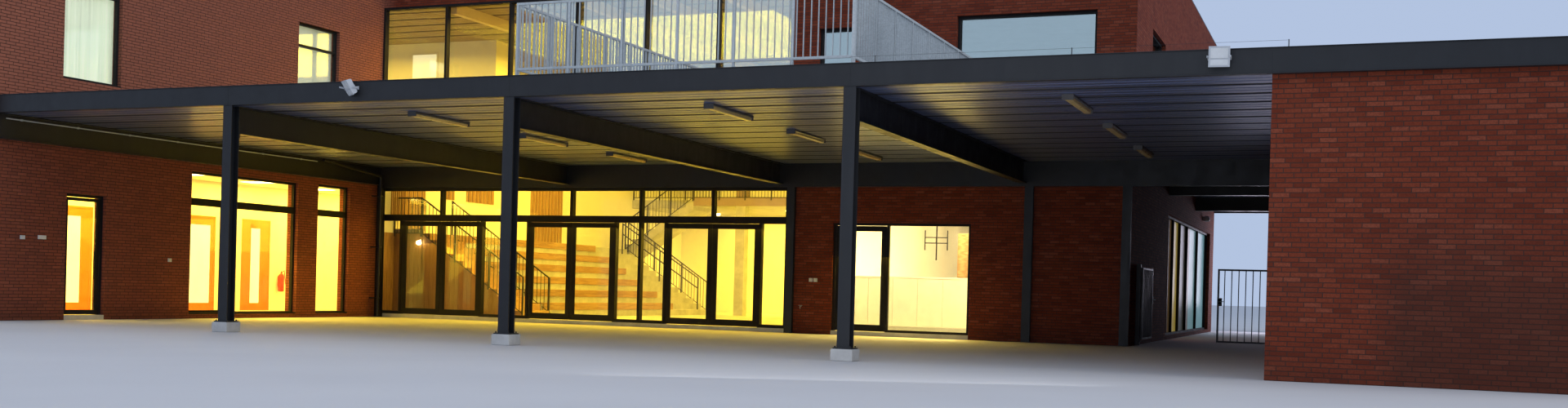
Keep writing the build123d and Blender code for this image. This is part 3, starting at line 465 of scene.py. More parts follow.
# Painted shade: the light trays are coloured dark for the shade they sit in.
STRIP_TRAY_PAINTED_SHADE = coated_steel("strip_tray_painted_shade", (0.09, 0.085, 0.08), 0.4, 0.1)
SEAT_WOOD = wood("seat_wood", (0.44, 0.26, 0.11), (0.27, 0.14, 0.06), (9.0, 0.8, 9.0))
UPRIGHT_WOOD = wood("upright_wood", (0.42, 0.24, 0.10), (0.24, 0.12, 0.05), (9.0, 9.0, 0.8))
GALLERY_PAINT = coated_steel("gallery_paint", (0.34, 0.25, 0.24), 0.6, 0.1)
BLIND = blind_slats()
JOINT_SHADE = coated_steel("joint_shade", (0.030, 0.031, 0.034), 0.7, 0.1)
CEILING_SHEET = coated_steel("ceiling_sheet", (0.30, 0.24, 0.17), 0.6, 0.1)
# Painted light: a pane that glows for a lit room behind it.
PANE_GLOW = glow("pane_glow", (0.92, 0.90, 0.56), 0.75)

for part in frame["record"]["subparts"]:
    node = NODES[part["node"]]
    node.data.materials.clear()
    node.data.materials.append(PAINTS[part["material_slot"]])
NODES["hall_roof_beams"].data.materials[0] = BEAM_PAINT
NODES["hall_glass"].data.materials[0] = HALL_GLASS


BOX_FACES = ((0, 1, 3, 2), (4, 6, 7, 5), (0, 4, 5, 1), (2, 3, 7, 6), (0, 2, 6, 4), (1, 5, 7, 3))


def spot(axis, along, u, v):
    """A point from its place along an axis and its two other coordinates."""
    values = [u, v]
    values.insert(axis, along)
    return tuple(values)


def circle(sides):
    """Points (x, y) round a circle with a radius of 1."""
    angles = [2 * math.pi * i / sides for i in range(sides)]
    return [(math.cos(t), math.sin(t)) for t in angles]


class Shape:
    """Gathers boxes, extruded outlines and turned forms into one mesh."""

    def __init__(self):
        self.mesh = bmesh.new()

    def points(self, places):
        return [self.mesh.verts.new(place) for place in places]

    def skin(self, rings):
        """Faces between one ring of points and the next, and one over each end."""
        for low, high in zip(rings, rings[1:]):
            for i in range(len(low)):
                j = (i + 1) % len(low)
                self.mesh.faces.new((low[i], low[j], high[j], high[i]))
        for ring in (rings[0], rings[-1]):
            self.mesh.faces.new(ring)
        return self

    def box(self, x0, x1, y0, y1, z0, z1):
        corners = self.points((x, y, z) for x in (x0, x1) for y in (y0, y1) for z in (z0, z1))
        for face in BOX_FACES:
            self.mesh.faces.new([corners[i] for i in face])
        return self

    def post(self, x, y, half_x, half_y, z0, z1):
        """A box about the upright line through (x, y)."""
        return self.box(x - half_x, x + half_x, y - half_y, y + half_y, z0, z1)

    def frame(self, axis, near, far, outer, inner):
        """Two uprights with rails between them, along axis 0 or 1, from two (u0, u1, z0, z1)."""
        (u0, u1, z0, z1), (v0, v1, w0, w1) = outer, inner
        for a, b, c, d in ((u0, v0, z0, z1), (v1, u1, z0, z1), (v0, v1, z0, w0), (v0, v1, w1, z1)):
            if axis == 0:
                self.box(a, b, near, far, c, d)
            else:
                self.box(near, far, a, b, c, d)
        return self

    def push(self, outline, axis, start, stop):
        """A closed outline of (u, v) points pushed along an axis."""
        return self.skin([self.points(spot(axis, a, u, v) for u, v in outline) for a in (start, stop)])

    def rod(self, start, stop, radius, sides=10):
        """A round bar between two points."""
        a, b = Vector(start), Vector(stop)
        turn = (b - a).to_track_quat("Z", "Y")
        offsets = [turn @ Vector((radius * x, radius * y, 0)) for x, y in circle(sides)]
        return self.skin([self.points(centre + offset for offset in offsets) for centre in (a, b)])

    def turned(self, centre, steps, sides=20):
        """A form turned about an upright axis, from (radius, height) steps."""
        cx, cy, cz = centre
        return self.skin([
            self.points((cx + radius * x, cy + radius * y, cz + height) for x, y in circle(sides))
            for radius, height in steps
        ])

    def make(self, name, slot, paint=None, body="building", bevel=0.0, replaces=(), at=None):
        """Turn the gathered forms into one piece that rides on a body."""
        if at is not None:
            bmesh.ops.transform(self.mesh, matrix=at, verts=self.mesh.verts[:])
        bmesh.ops.recalc_face_normals(self.mesh, faces=self.mesh.faces[:])
        data = bpy.data.meshes.new(name)
        self.mesh.to_mesh(data)
        self.mesh.free()
        data.materials.append(paint or PAINTS[slot])
        piece = bpy.data.objects.new(name, data)
        bpy.context.scene.collection.objects.link(piece)
        if bevel:
            edges = piece.modifiers.new("edges", "BEVEL")
            edges.width = bevel
            edges.segments = 2
            edges.limit_method = "ANGLE"
        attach(piece, body)
        if replaces:
            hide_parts(*replaces)


PLANK, GROOVE, SEAM_GAP, SHEET = 0.90, 0.030, 0.17, 0.003


def plank_starts(y0, y1):
    """Where each plank starts, and the end of the last one."""
    count = max(1, round((y1 - y0) / PLANK))
    return [y0 + (y1 - y0) * i / count for i in range(count + 1)]


def joint_strips(shape, x0, x1, y0, y1, low):
    """Shaded strips just above the open joints between planks."""
    for end in plank_starts(y0, y1)[1:-1]:
        shape.box(x0, x1, end - SEAM_GAP + SHEET, end - SHEET, low + 0.008, low + 0.016)


def ribbed_outline(y0, y1, low, high):
    """Section of deck planks from y0 to y1: a deep joint beside each plank and two shallow grooves in it."""
    line = [(y0, low)]
    starts = plank_starts(y0, y1)
    for start, end in zip(starts, starts[1:]):
        for share in (1 / 3, 2 / 3):
            groove = start + share * (end - start - SEAM_GAP)
            line += [(groove - GROOVE, low), (groove, low + GROOVE), (groove + GROOVE, low)]
        if end < y1 - 0.01:
            line += [(end - SEAM_GAP, low), (end - SEAM_GAP, high), (end, high), (end, low)]
    line.append((y1, low))
    upper = [(y, max(z, low) + SHEET) for y, z in reversed(line)]
    return line + upper


def canopy_deck():
    """Profiled steel deck under the canopy and over the passage, with shaded joints under the canopy."""
    low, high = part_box("canopy_deck")
    deck = Shape().push(ribbed_outline(low.y, high.y, low.z, high.z - SHEET), 0, low.x, high.x)
    deck.make("canopy_deck_sheet", "galvanised", replaces=("canopy_deck",))
    joints = Shape()
    joint_strips(joints, low.x, high.x, low.y, high.y, low.z)
    joints.make("canopy_deck_joints", "galvanised", JOINT_SHADE)
    low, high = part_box("passage_deck")
    board, rib_top = 0.025, high.z - 0.03
    deck = Shape().push(ribbed_outline(low.y, high.y, low.z, rib_top), 0, low.x, high.x)
    deck.box(low.x, high.x, low.y, high.y, high.z - board, high.z)
    deck.make("passage_deck_sheet", "galvanised", replaces=("passage_deck",))


def footings():
    """Chamfered concrete bases of the front columns."""
    low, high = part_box("column_footings")
    middle, half = (low.y + high.y) / 2, 0.175
    bases = Shape()
    for x in COLUMN_ROWS:
        bases.post(x, middle, half, half, low.z, high.z)
    bases.make("footing_blocks", "concrete", bevel=0.012, replaces=("column_footings",))


SEAM, SEAM_HIGH, SEAM_PITCH = 0.10, 0.006, 1.0


def roof_sheets():
    """Seams of the low roofs, and sheets with upstands and drains on the high ones."""
    seams = Shape()
    for node in ("canopy_roofing", "annex_roof"):
        low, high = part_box(node)
        for i in range(1, round((high.x - low.x) / SEAM_PITCH)):
            x = low.x + i * SEAM_PITCH
            under_terrace = node == "canopy_roofing" and 0 <= x <= GRID
            if not under_terrace:
                seams.box(x, x + SEAM, low.y, high.y, high.z, high.z + SEAM_HIGH)
    seams.make("low_roof_seams", "roofing", bevel=0.002)
    sheets = Shape()
    skin, upstand = 0.008, 0.30
    top = ROOF_TOP + skin
    drain = ((0.16, 0.0), (0.16, 0.02), (0.10, 0.03), (0.09, 0.12), (0.0001, 0.14))
    for x0, x1, y0, y1 in (WING_ROOM, (WING, HALL_RIGHT, FACADE + WALL, BACK - WALL), BLOCK_ROOM):
        sheets.box(x0, x1, y0, y1, ROOF_TOP, top)
        for i in range(1, round((x1 - x0) / SEAM_PITCH)):
            x = x0 + i * SEAM_PITCH
            sheets.box(x, x + SEAM, y0 + skin, y1 - skin, top, top + SEAM_HIGH)
        for strip in (
            (x0, x1, y0, y0 + skin), (x0, x1, y1 - skin, y1),
            (x0, x0 + skin, y0, y1), (x1 - skin, x1, y0, y1),
        ):
            sheets.box(*strip, top, ROOF_TOP + upstand)
        sheets.turned(((x0 + x1) / 2, y1 - 1.2, top), drain, 16)
    sheets.make("high_roof_sheets", "roofing")


BALUSTER_PITCH = 0.12


def terrace():
    """Tiles of the terrace and the flat balusters of its railings."""
    low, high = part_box("terrace_floor")
    size, gap, bed = 0.5, 0.004, high.z - 0.02
    tiles = Shape().box(low.x, high.x, low.y, high.y, low.z, bed)
    for i in range(round((high.x - low.x) / size)):
        for j in range(round((high.y - low.y) / size)):
            x, y = low.x + i * size, low.y + j * size
            tiles.box(x + gap, x + size - gap, y + gap, min(y + size, high.y) - gap, bed, high.z)
    tile = concrete("terrace_tile", (0.34, 0.34, 0.34), (0.50, 0.50, 0.49))
    tiles.make("terrace_tiles", "concrete", tile, replaces=("terrace_floor",))

    thin, broad = 0.004, 0.018
    low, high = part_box("terrace_railing_front")
    foot, head = 4.60, high.z - 0.012
    front = Shape()
    for i in range(1, round((high.x - low.x) / BALUSTER_PITCH)):
        front.post(low.x + i * BALUSTER_PITCH, (low.y + high.y) / 2, thin, broad, foot, head)
    front.make("terrace_balusters_front", "railing")
    low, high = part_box("terrace_railing_sides")
    for name, x in (("left", low.x + 0.02), ("right", high.x - 0.02)):
        side = Shape()
        for i in range(1, round((high.y - low.y) / BALUSTER_PITCH)):
            side.post(x, low.y + i * BALUSTER_PITCH, broad, thin, foot, head)
        side.make("terrace_balusters_" + name, "railing")


STILE, PANE, LEAF_THICK = 0.112, 0.024, 0.06
HANDLE_REACH, CLEARANCE = 0.055, 0.005


def leaf(node, direction, stile=STILE):
    """A glazed door leaf in place of a plain one: profile frame, beads, pane, pull bars and hinges.

    The leaf runs from u = 0 at its hinges to its free edge, with w as its thickness.
    """
    low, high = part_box(node)
    if direction == "y+":
        width = high.y - low.y - CLEARANCE
        rows = ((0, -1, 0, high.x - HANDLE_REACH), (1, 0, 0, low.y + CLEARANCE))
    else:
        width = high.x - low.x - CLEARANCE
        side, hinge = (-1, high.x - CLEARANCE) if direction == "x-" else (1, low.x + CLEARANCE)
        rows = ((side, 0, 0, hinge), (0, 1, 0, low.y + HANDLE_REACH))
    turn = Matrix((*rows, (0, 0, 1, 0), (0, 0, 0, 1)))
    foot, head = FLOOR + 0.01, high.z
    left, right, sill, top = stile, width - stile, foot + stile + 0.03, head - stile
    bars = Shape().frame(0, 0, LEAF_THICK, (0, width, foot, head), (left, right, sill, top))
    bead, inset, middle = 0.016, 0.008, LEAF_THICK / 2
    for w0, w1 in ((inset, middle - PANE / 2), (middle + PANE / 2, LEAF_THICK - inset)):
        bars.box(left, left + bead, w0, w1, sill, top).box(right - bead, right, w0, w1, sill, top)
        bars.box(left, right, w0, w1, sill, sill + bead).box(left, right, w0, w1, top - bead, top)
    for z in (foot + 0.22, (foot + head) / 2, head - 0.22):
        bars.rod((0.0, 0.0, z - 0.06), (0.0, 0.0, z + 0.06), 0.009)
    bars.make(node + "_frame", "frame", body=node, bevel=0.002, replaces=(node,), at=turn)
    pane = Shape().box(left, right, middle - PANE / 2, middle + PANE / 2, sill, top)
    pane.make(node + "_pane", "glass", body=node, bevel=0.001, at=turn)
    pulls = Shape()
    grip, pull_foot, pull_head, lock = width - stile / 2, 0.87, 1.47, 1.02
    for w, out in ((0.0, -1), (LEAF_THICK, 1)):
        reach = w + 0.045 * out
        pulls.rod((grip, reach, pull_foot), (grip, reach, pull_head), 0.010, 14)
        for z in (pull_foot + 0.05, pull_head - 0.05):
            pulls.rod((grip, w, z), (grip, reach, z), 0.007)
        pulls.rod((grip, w, lock), (grip, w + 0.006 * out, lock), 0.016, 16)
    pulls.make(node + "_pulls", "frame", body=node, at=turn)


def doors():
    """Every leaf at ground level that opens."""
    for i in range(1, 7):
        leaf(f"entrance_door_{i}", "x+" if i % 2 else "x-")
    leaf("room_door", "x+")
    leaf("wing_door", "y+", stile=0.055)


def evenly(start, stop, count):
    """Middles of so many equal bays."""
    pitch = (stop - start) / count
    return [start + (i + 0.5) * pitch for i in range(count)]


def window_sashes():
    """Opening sashes, transoms and sills of the windows."""
    sashes, sills = Shape(), Shape()
    proud, edge, lip, sill_thick = 0.012, 0.06, 0.002, 0.03
    half, middle_bar = PLAIN_WINDOW / 2, edge / 2

    def sash_ring(axis, at, u0, u1, z0, z1, sash=0.045):
        outer = (u0 + edge, u1 - edge, z0 + edge, z1 - edge)
        inner = (outer[0] + sash, outer[1] - sash, outer[2] + sash, outer[3] - sash)
        sashes.frame(axis, at + proud, at + FRAME_DEEP - proud, outer, inner)

    def sill(x0, x1, y0, y1, level):
        sills.box(x0, x1, y0, y1, level, level + sill_thick)

    storeys = (LOW_WINDOW, HIGH_WINDOW)
    for middle in evenly(WING_FRONT + WALL, BACK - WALL, 6):
        for z0, z1 in storeys:
            sash_ring(1, LEFT_END + REVEAL, middle - half, middle + middle_bar, z0, z1)
            sill(LEFT_END + lip, LEFT_END + REVEAL, middle - half, middle + half, z0)
    for start, levels in ((-17.575, storeys), (-10.2, storeys[1:]), (-5.0, storeys[1:]), (3.2, storeys)):
        for z0, z1 in levels:
            end = start + PLAIN_WINDOW
            sash_ring(0, BACK - REVEAL - FRAME_DEEP, start + half - middle_bar, end, z0, z1)
            sill(start, end, BACK - REVEAL, BACK - lip, z0)
    for middle in evenly(deep(0.0) + WALL, BACK - WALL, 6):
        sash_ring(1, RIGHT_END - REVEAL - FRAME_DEEP, middle - half, middle + middle_bar, *LOW_WINDOW)
        sill(RIGHT_END - REVEAL, RIGHT_END - lip, middle - half, middle + half, LOW_WINDOW[0])
    start, end = -16.4, -14.0
    for z0, z1 in storeys:
        sash_ring(0, WING_FRONT + REVEAL, start, (start + end) / 2 + middle_bar, z0, z1)
        sill(start, end, WING_FRONT + lip, WING_FRONT + REVEAL, z0)
    for y0, y1, z0, z1 in WING_WINDOWS:
        sill(WING - REVEAL, WING - lip, deep(y0), deep(y1), z0)

    court, reach = WING - REVEAL - FRAME_DEEP, 0.01
    transom, half_transom, sash_end = 2.735, 0.085, 6.38
    start, _, foot, _ = WING_WINDOWS[0]
    sash_ring(1, court, deep(start), deep(sash_end), foot, transom + middle_bar, 0.03)
    for y0, y1, _, _ in WING_WINDOWS[:2]:
        span = (court - reach, court + FRAME_DEEP + reach, deep(y0), deep(y1))
        sashes.box(*span, transom - half_transom, transom + half_transom)
    sill(4.33, 7.57, FACADE + lip, FACADE + REVEAL, HIGH_WINDOW[0])
    sashes.make("window_sashes", "frame", bevel=0.002)
    sills.make("window_sills", "frame", bevel=0.003)


STRIP_SPOTS = [(x, 1.4 + 3.7 * i) for x in (-3.0, 3.0, 9.0) for i in range(3)]


def strip_lights():
    """Surface lights under the canopy: tray, end caps and a tapered diffuser."""
    trays, covers = Shape(), Shape()
    length, cap, half_wide = 1.7, 0.02, 0.09
    high, low = STOREY, STOREY - 0.09
    tray = ((half_wide, high), (half_wide, high - 0.035), (0.07, high - 0.045))
    cover = ((0.065, high - 0.045), (0.055, low + 0.008), (0.035, low))
    for x, start in STRIP_SPOTS:
        y0, y1 = deep(start), deep(start) + length
        for shape, half in ((trays, tray), (covers, cover)):
            outline = [(x - dx, z) for dx, z in half] + [(x + dx, z) for dx, z in reversed(half)]
            shape.push(outline, 1, y0 + cap, y1 - cap)
        for a, b in ((y0, y0 + cap), (y1 - cap, y1)):
            trays.box(x - half_wide, x + half_wide, a, b, low, high)
    # The trays' dark colour is painted shade.
    trays.make("strip_light_trays", "lamp", STRIP_TRAY_PAINTED_SHADE, bevel=0.003, replaces=("strip_lights",))
    # The diffusers' golden colour is painted warm light.
    covers.make("strip_light_covers", "lamp", STRIP_COVER_PAINTED_WARM_LIGHT, bevel=0.002)


def floodlights():
    """Two floodlights on the fascia: finned head with a rim, lens and bracket."""
    near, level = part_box("floodlights")[0].y, 4.36
    for name, x, tilt, turn in (("left", -3.21, 30.0, -34.0), ("right", 11.32, 12.0, 6.0)):
        spin = Matrix.Translation((x, near + 0.172, 4.37)) @ Matrix.Rotation(math.radians(turn), 4, "Z")
        spin = spin @ Matrix.Rotation(math.radians(tilt), 4, "X")
        head = Shape().box(-0.13, 0.13, -0.035, 0.030, -0.13, 0.13)
        head.box(-0.14, 0.14, -0.048, -0.032, -0.14, 0.14)
        for i in range(9):
            fin = -0.112 + i * 0.028
            head.box(fin - 0.003, fin + 0.003, 0.030, 0.055, -0.12, 0.12)
        head.make("floodlight_" + name, "lamp", bevel=0.006, replaces=("floodlights",), at=spin)
        lens = Shape().box(-0.115, 0.115, -0.054, -0.047, -0.02, 0.115)
        lens.box(-0.115, 0.115, -0.052, -0.047, -0.115, -0.04)
        lens.make(f"floodlight_{name}_lens", "lamp", LAMP_GLASS, bevel=0.003, at=spin)
        arm = Shape()
        for side in (-0.155, 0.147):
            arm.box(x + side, x + side + 0.008, near + 0.09, near + 0.235, level - 0.015, level + 0.015)
        arm.box(x - 0.155, x + 0.155, near + 0.228, near + 0.236, level - 0.03, level + 0.03)
        arm.rod((x, near + 0.23, level), (x, FRONT, level), 0.02)
        arm.box(x - 0.05, x + 0.05, FRONT - 0.008, FRONT, level - 0.06, level + 0.06)
        arm.make(f"floodlight_{name}_bracket", "lamp", bevel=0.002)


HANDLE = 1.05


def gate_fittings():
    """Lock plates and handles of the two gate leaves."""
    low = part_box("gate_leaf_right")[0]
    x, out = low.x + 0.05, low.y - 0.05
    right = Shape().box(low.x + 0.02, low.x + 0.08, low.y, low.y + 0.004, HANDLE - 0.05, HANDLE + 0.05)
    right.rod((x, low.y + 0.002, HANDLE), (x, out, HANDLE), 0.009)
    right.rod((x, out, HANDLE), (low.x + 0.16, out, HANDLE), 0.008)
    right.make("gate_right_handle", "railing", body="gate_leaf_right", bevel=0.001)
    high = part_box("gate_leaf_left")[1]
    y, out = high.y - 0.05, high.x + 0.05
    left = Shape().box(high.x - 0.004, high.x, high.y - 0.08, high.y - 0.02, HANDLE - 0.05, HANDLE + 0.05)
    left.rod((high.x - 0.002, y, HANDLE), (out, y, HANDLE), 0.009)
    left.rod((out, y, HANDLE), (out, high.y - 0.16, HANDLE), 0.008)
    left.make("gate_left_handle", "railing", body="gate_leaf_left", bevel=0.001)


def wall_boxes():
    """Small boxes on the wing's court wall and on the wall right of the hall."""
    boxes = Shape()
    for y, z, wide in ((0.75, 1.69, 0.05), (1.21, 1.71, 0.09), (4.6, 1.34, 0.045)):
        inner = wide * 0.7
        boxes.box(WING, WING + 0.035, deep(y) - wide, deep(y) + wide, z - 0.04, z + 0.04)
        boxes.box(WING + 0.035, WING + 0.042, deep(y) - inner, deep(y) + inner, z - 0.028, z + 0.028)
    for x in (0.86, 0.98):
        boxes.box(x - 0.045, x + 0.045, FACADE - 0.04, FACADE, 1.26, 1.35)
        boxes.box(x - 0.03, x + 0.03, FACADE - 0.047, FACADE - 0.04, 1.275, 1.335)
    boxes.make("wall_sockets", "lamp", WHITE_BOX, bevel=0.006)


def garden_tap():
    """A tap on the wall right of the hall."""
    x, y, z = 0.62, FACADE - 0.08, 0.66
    tap = Shape().rod((x, FACADE, z), (x, y - 0.01, z), 0.011).rod((x, y, z), (x, y, z - 0.06), 0.010)
    tap.box(x - 0.05, x + 0.05, y + 0.015, y + 0.025, z + 0.015, z + 0.025)
    tap.make("garden_tap", "railing", bevel=0.002)


def passage_lamp():
    """A round lamp on a square base at the passage."""
    y, z, half = deep(27.4), 3.72, 0.07
    lamp = Shape().box(BLOCK, BLOCK + 0.05, y - half, y + half, z - half, z + half)
    globe = ((0.06, 0.0), (0.10, 0.02), (0.11, 0.08), (0.09, 0.15), (0.02, 0.18))
    lamp.turned((BLOCK + 0.12, y, z - 0.09), globe)
    lamp.make("passage_lamp", "lamp", WHITE_BOX, bevel=0.004)


def pipes():
    """The conduit with its clips under the canopy, and the downpipe in the corner of the court."""
    edge, level = WING + 0.2, STOREY - 0.10
    conduit = Shape().rod((edge + 0.02, deep(0.15), level), (edge + 0.02, deep(9.2), level), 0.013)
    for i in range(7):
        y = deep(0.5 + 1.35 * i)
        conduit.box(edge, edge + 0.04, y - 0.015, y + 0.015, level - 0.02, level + 0.02)
    conduit.make("canopy_conduit", "railing", PAINTS["lamp"], bevel=0.001)
    out, corner, radius = edge + 0.05, deep(11.72), 0.04
    drain = Shape().rod((out, deep(9.4), 4.09), (out, corner, 3.86), radius, 14)
    drain.rod((out, corner, 3.90), (out, corner, 0.02), radius, 14)
    for z in (0.5, 1.9, 3.3):
        drain.box(WING, out + 0.05, corner - 0.05, corner + 0.05, z, z + 0.03)
    drain.make("corner_downpipe", "dark_steel", bevel=0.002)


def safety_line():
    """A thin line on three short posts along the top of the fascia."""
    line = Shape()
    y, top = deep(0.05), FASCIA_TOP + 0.10
    for x in (6.37, 9.3, 12.2):
        line.post(x, y, 0.04, 0.03, FASCIA_TOP, FASCIA_TOP + 0.01)
        line.rod((x, y, FASCIA_TOP), (x, y, top + 0.01), 0.007)
    line.rod((5.97, y, top), (12.2, y, top), 0.002, 6)
    line.make("roof_safety_line", "railing", PAINTS["dark_steel"], bevel=0.001)


def fascia_trim():
    """Joint plates and drip edges of the fascia."""
    trim = Shape()
    for x in (*COLUMN_ROWS, 2 * GRID):
        trim.box(x - 0.004, x + 0.004, FRONT - 0.002, FRONT + 0.004, STOREY, FASCIA_TOP)
    low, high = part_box("fascia_front")
    cap = (FASCIA_TOP - 0.004, FASCIA_TOP + 0.004)
    trim.box(low.x, high.x, FRONT - 0.018, FRONT + 0.10, *cap)
    trim.box(low.x, high.x, FRONT - 0.012, FRONT, STOREY, STOREY + 0.012)
    trim.box(RIGHT_END - 0.10, RIGHT_END - 0.001, FRONT, BACK, *cap)
    trim.make("fascia_drip_edge", "dark_steel", bevel=0.001)


def steel_plates():
    """End plates of the beams and base plates of the columns, with their bolts."""
    plates = Shape()
    y = deep(0.2)
    face = y + 0.015
    for x in COLUMN_ROWS:
        plates.box(x - 0.10, x + 0.10, y, face, 3.55, 3.95)
        for dx in (-0.06, 0.06):
            for z in (3.60, 3.72, 3.84):
                plates.rod((x + dx, face, z), (x + dx, face + 0.013, z), 0.013, 6)
        plates.box(x - 0.15, x + 0.15, deep(-0.05), deep(0.25), 0.18, 0.20)
        for dx in (-0.12, 0.12):
            for dy in (-0.02, 0.22):
                plates.rod((x + dx, deep(dy), 0.20), (x + dx, deep(dy), 0.225), 0.014, 6)
    plates.make("steel_plates", "dark_steel", bevel=0.001)


# Places and levels in the hall.
TRIBUNE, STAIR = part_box("tribune"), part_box("facade_stair")
STAIR_TOP = STAIR[0].x + 0.94
FLIGHT_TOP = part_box("upper_stair")[1].x
LANDING, GALLERY_UNDER, GALLERY = TRIBUNE[1].z, 3.94, 4.24
LOW_CEILING = 3.46
PARTITION = deep(17.5)
CLADDING = 0.015


def balusters(shape, y, points):
    """Upright bars and a bottom rail along (x, z) points, which give the guard's foot."""
    foot, head, bar = 0.10, 1.07, 0.007
    for (x0, z0), (x1, z1) in zip(points, points[1:]):
        count = max(1, round(abs(x1 - x0) / BALUSTER_PITCH))
        for i in range(1, count):
            share = i / count
            x, z = x0 + (x1 - x0) * share, z0 + (z1 - z0) * share
            shape.post(x, y, bar, bar, z + foot, z + head)
        shape.rod((x0, y, z0 + foot), (x1, y, z1 + foot), 0.013, 8)


def hall_guards():
    """Balusters along the stairs, the landing and the gallery."""
    bars = Shape()
    low, high, aside = LANDING - 0.1, GALLERY - 0.1, 0.02
    balusters(bars, STAIR[0].y - aside, ((WING, low), (STAIR_TOP, low), (STAIR[1].x, FLOOR)))
    balusters(bars, STAIR[1].y + aside, ((STAIR_TOP, low), (STAIR[1].x, FLOOR)))
    balusters(bars, deep(25.12), ((-11.3, low), (TRIBUNE[1].x, FLOOR)))
    balusters(bars, deep(25.18), ((-11.45, low), (FLIGHT_TOP, high), (HALL_RIGHT, high)))
    balusters(bars, deep(26.76), ((WING, GALLERY), (FLIGHT_TOP, GALLERY)))
    bars.make("hall_balusters", "inner_railing")


def tribune_boards():
    """Seat boards on the steps of the tribune."""
    boards = Shape()
    steps, tread, thick, seat = 6, 0.6, 0.022, 0.42
    rise = (LANDING - FLOOR) / steps
    y0, y1 = TRIBUNE[0].y + 0.04, TRIBUNE[1].y - 0.04
    for i in range(steps):
        edge, level = TRIBUNE[1].x - i * tread, FLOOR + (i + 1) * rise
        boards.box(edge, edge + thick, y0, y1, level - 0.18, level + thick)
        boards.box(edge - seat, edge, y0, y1, level, level + thick)
    boards.make("tribune_boards", "wood", SEAT_WOOD, bevel=0.004)


def stair_cladding():
    """Upright boards on the near side of the front stair and its landing, two to a step."""
    cladding = Shape()
    steps, board, gap, below, y = 12, 0.14, 0.004, 0.01, STAIR[0].y
    for i in range(2 * steps):
        right = STAIR[1].x - i * board
        level = FLOOR + (i // 2 + 1) * (LANDING - FLOOR) / steps
        cladding.box(right - board + gap, right, y - CLADDING, y, FLOOR, level - below)
    for i in range(round((STAIR_TOP - WING) / board)):
        left = WING + i * board
        cladding.box(left + gap, left + board, y - CLADDING, y, FLOOR, LANDING - below)
    cladding.make("facade_stair_cladding", "wood", UPRIGHT_WOOD, bevel=0.002)


def hall_wall_strips():
    """Upright strips and boards on the hall's left wall, as runs of (start, stop, foot)."""
    strips = Shape()
    pitch, wide, head = 0.10, 0.072, 4.40
    for start, stop, foot in (
        (13.0, 14.1, LANDING + 0.12),
        (14.9, 15.5, LOW_CEILING),
        (16.1, 17.6, LOW_CEILING),
        (18.0, 18.6, 3.3),
        (19.7, 21.7, LANDING),
    ):
        for i in range(round((stop - start) / pitch)):
            y = deep(start + i * pitch)
            strips.box(WING, WING + CLADDING + 0.012 * (i % 2), y, y + wide, foot, head)
    for i in range(8):
        y = deep(12.38 + i * 0.085)
        strips.box(WING + 0.10, WING + 0.14, y, y + 0.03, LANDING + 0.45, head)
    strips.make("hall_wall_strips", "wood", UPRIGHT_WOOD, bevel=0.002)
    boards = Shape()
    for i in range(4):
        y = deep(12.25) + i * 0.11
        boards.box(WING, WING + CLADDING, y, y + 0.105, FLOOR, LANDING)
    boards.make("hall_corner_boards", "wood", UPRIGHT_WOOD, bevel=0.002)


def gallery_trim():
    """Upstand of the landing, two posts on the gallery and the board along its edge."""
    trim = Shape()
    trim.box(WING, STAIR_TOP, STAIR[0].y + 0.02, STAIR[0].y + 0.10, LANDING, LANDING + 0.12)
    for x in (-7.1, -3.1):
        trim.box(x - 0.01, x + 0.36, deep(25.25), deep(25.62), GALLERY, ROOF_UNDER)
    trim.box(FLIGHT_TOP, HALL_RIGHT, deep(25.2) - 0.012, deep(25.2), GALLERY_UNDER, GALLERY)
    trim.make("gallery_trim", "plaster", GALLERY_PAINT, bevel=0.004)


def hall_ceiling():
    """Profiled sheet under the roof of the hall and of the wing upstairs."""
    sheet, joints = Shape(), Shape()
    start, low, high = FACADE + WALL, ROOF_UNDER - 0.13, ROOF_UNDER - 0.01
    for x0, x1, end in ((WING, HALL_RIGHT, BACK - WALL), (LEFT_END + WALL, WING, PARTITION)):
        sheet.push(ribbed_outline(start, end, low, high), 0, x0, x1)
        joint_strips(joints, x0, x1, start, end, low)
    sheet.make("hall_ceiling_sheet", "galvanised", CEILING_SHEET)
    joints.make("hall_ceiling_joints", "galvanised", JOINT_SHADE)


def upstairs_pane():
    """The small pane in the partition upstairs, glowing with painted light, with its frame."""
    x0, x1, z0, z1 = -15.18, -14.17, 7.46, 8.30
    edge, y = 0.05, PARTITION
    u0, u1, w0, w1 = x0 + edge, x1 - edge, z0 + edge, z1 - edge
    window = Shape()
    for x, end, z, top in ((x0, x1, z0, w0), (x0, x1, w1, z1), (x0, u0, w0, w1), (u1, x1, w0, w1)):
        window.box(x, end, y - 0.03, y, z, top)
    window.make("upstairs_pane_frame", "plaster", bevel=0.003)
    sheet = Shape().box(u0, u1, y - 0.015, y - 0.008, w0, w1)
    sheet.box(x0 + 0.3, x0 + 0.31, y - 0.017, y - 0.015, w0, w1)
    sheet.make("upstairs_pane", "glass", PANE_GLOW)


def hall_lamps():
    """Round lamps under the gallery and one on the side of the front stair."""
    lamps = Shape()
    for x in (-10.0, -6.0, -2.0):
        for y in (27.6, 29.8):
            lamps.turned((x, deep(y), GALLERY_UNDER - 0.07), ((0.16, 0.0), (0.17, 0.03), (0.17, 0.07)))
    x, y, z = -11.09, STAIR[0].y - 0.10, 2.02
    lamps.turned((x, y, z), ((0.02, 0.0), (0.06, 0.02), (0.075, 0.06), (0.06, 0.10), (0.02, 0.12)))
    lamps.rod((x, y, z + 0.10), (x, STAIR[0].y - CLADDING, z + 0.14), 0.008)
    lamps.make("hall_lamps", "lamp", WARM_GLOW)


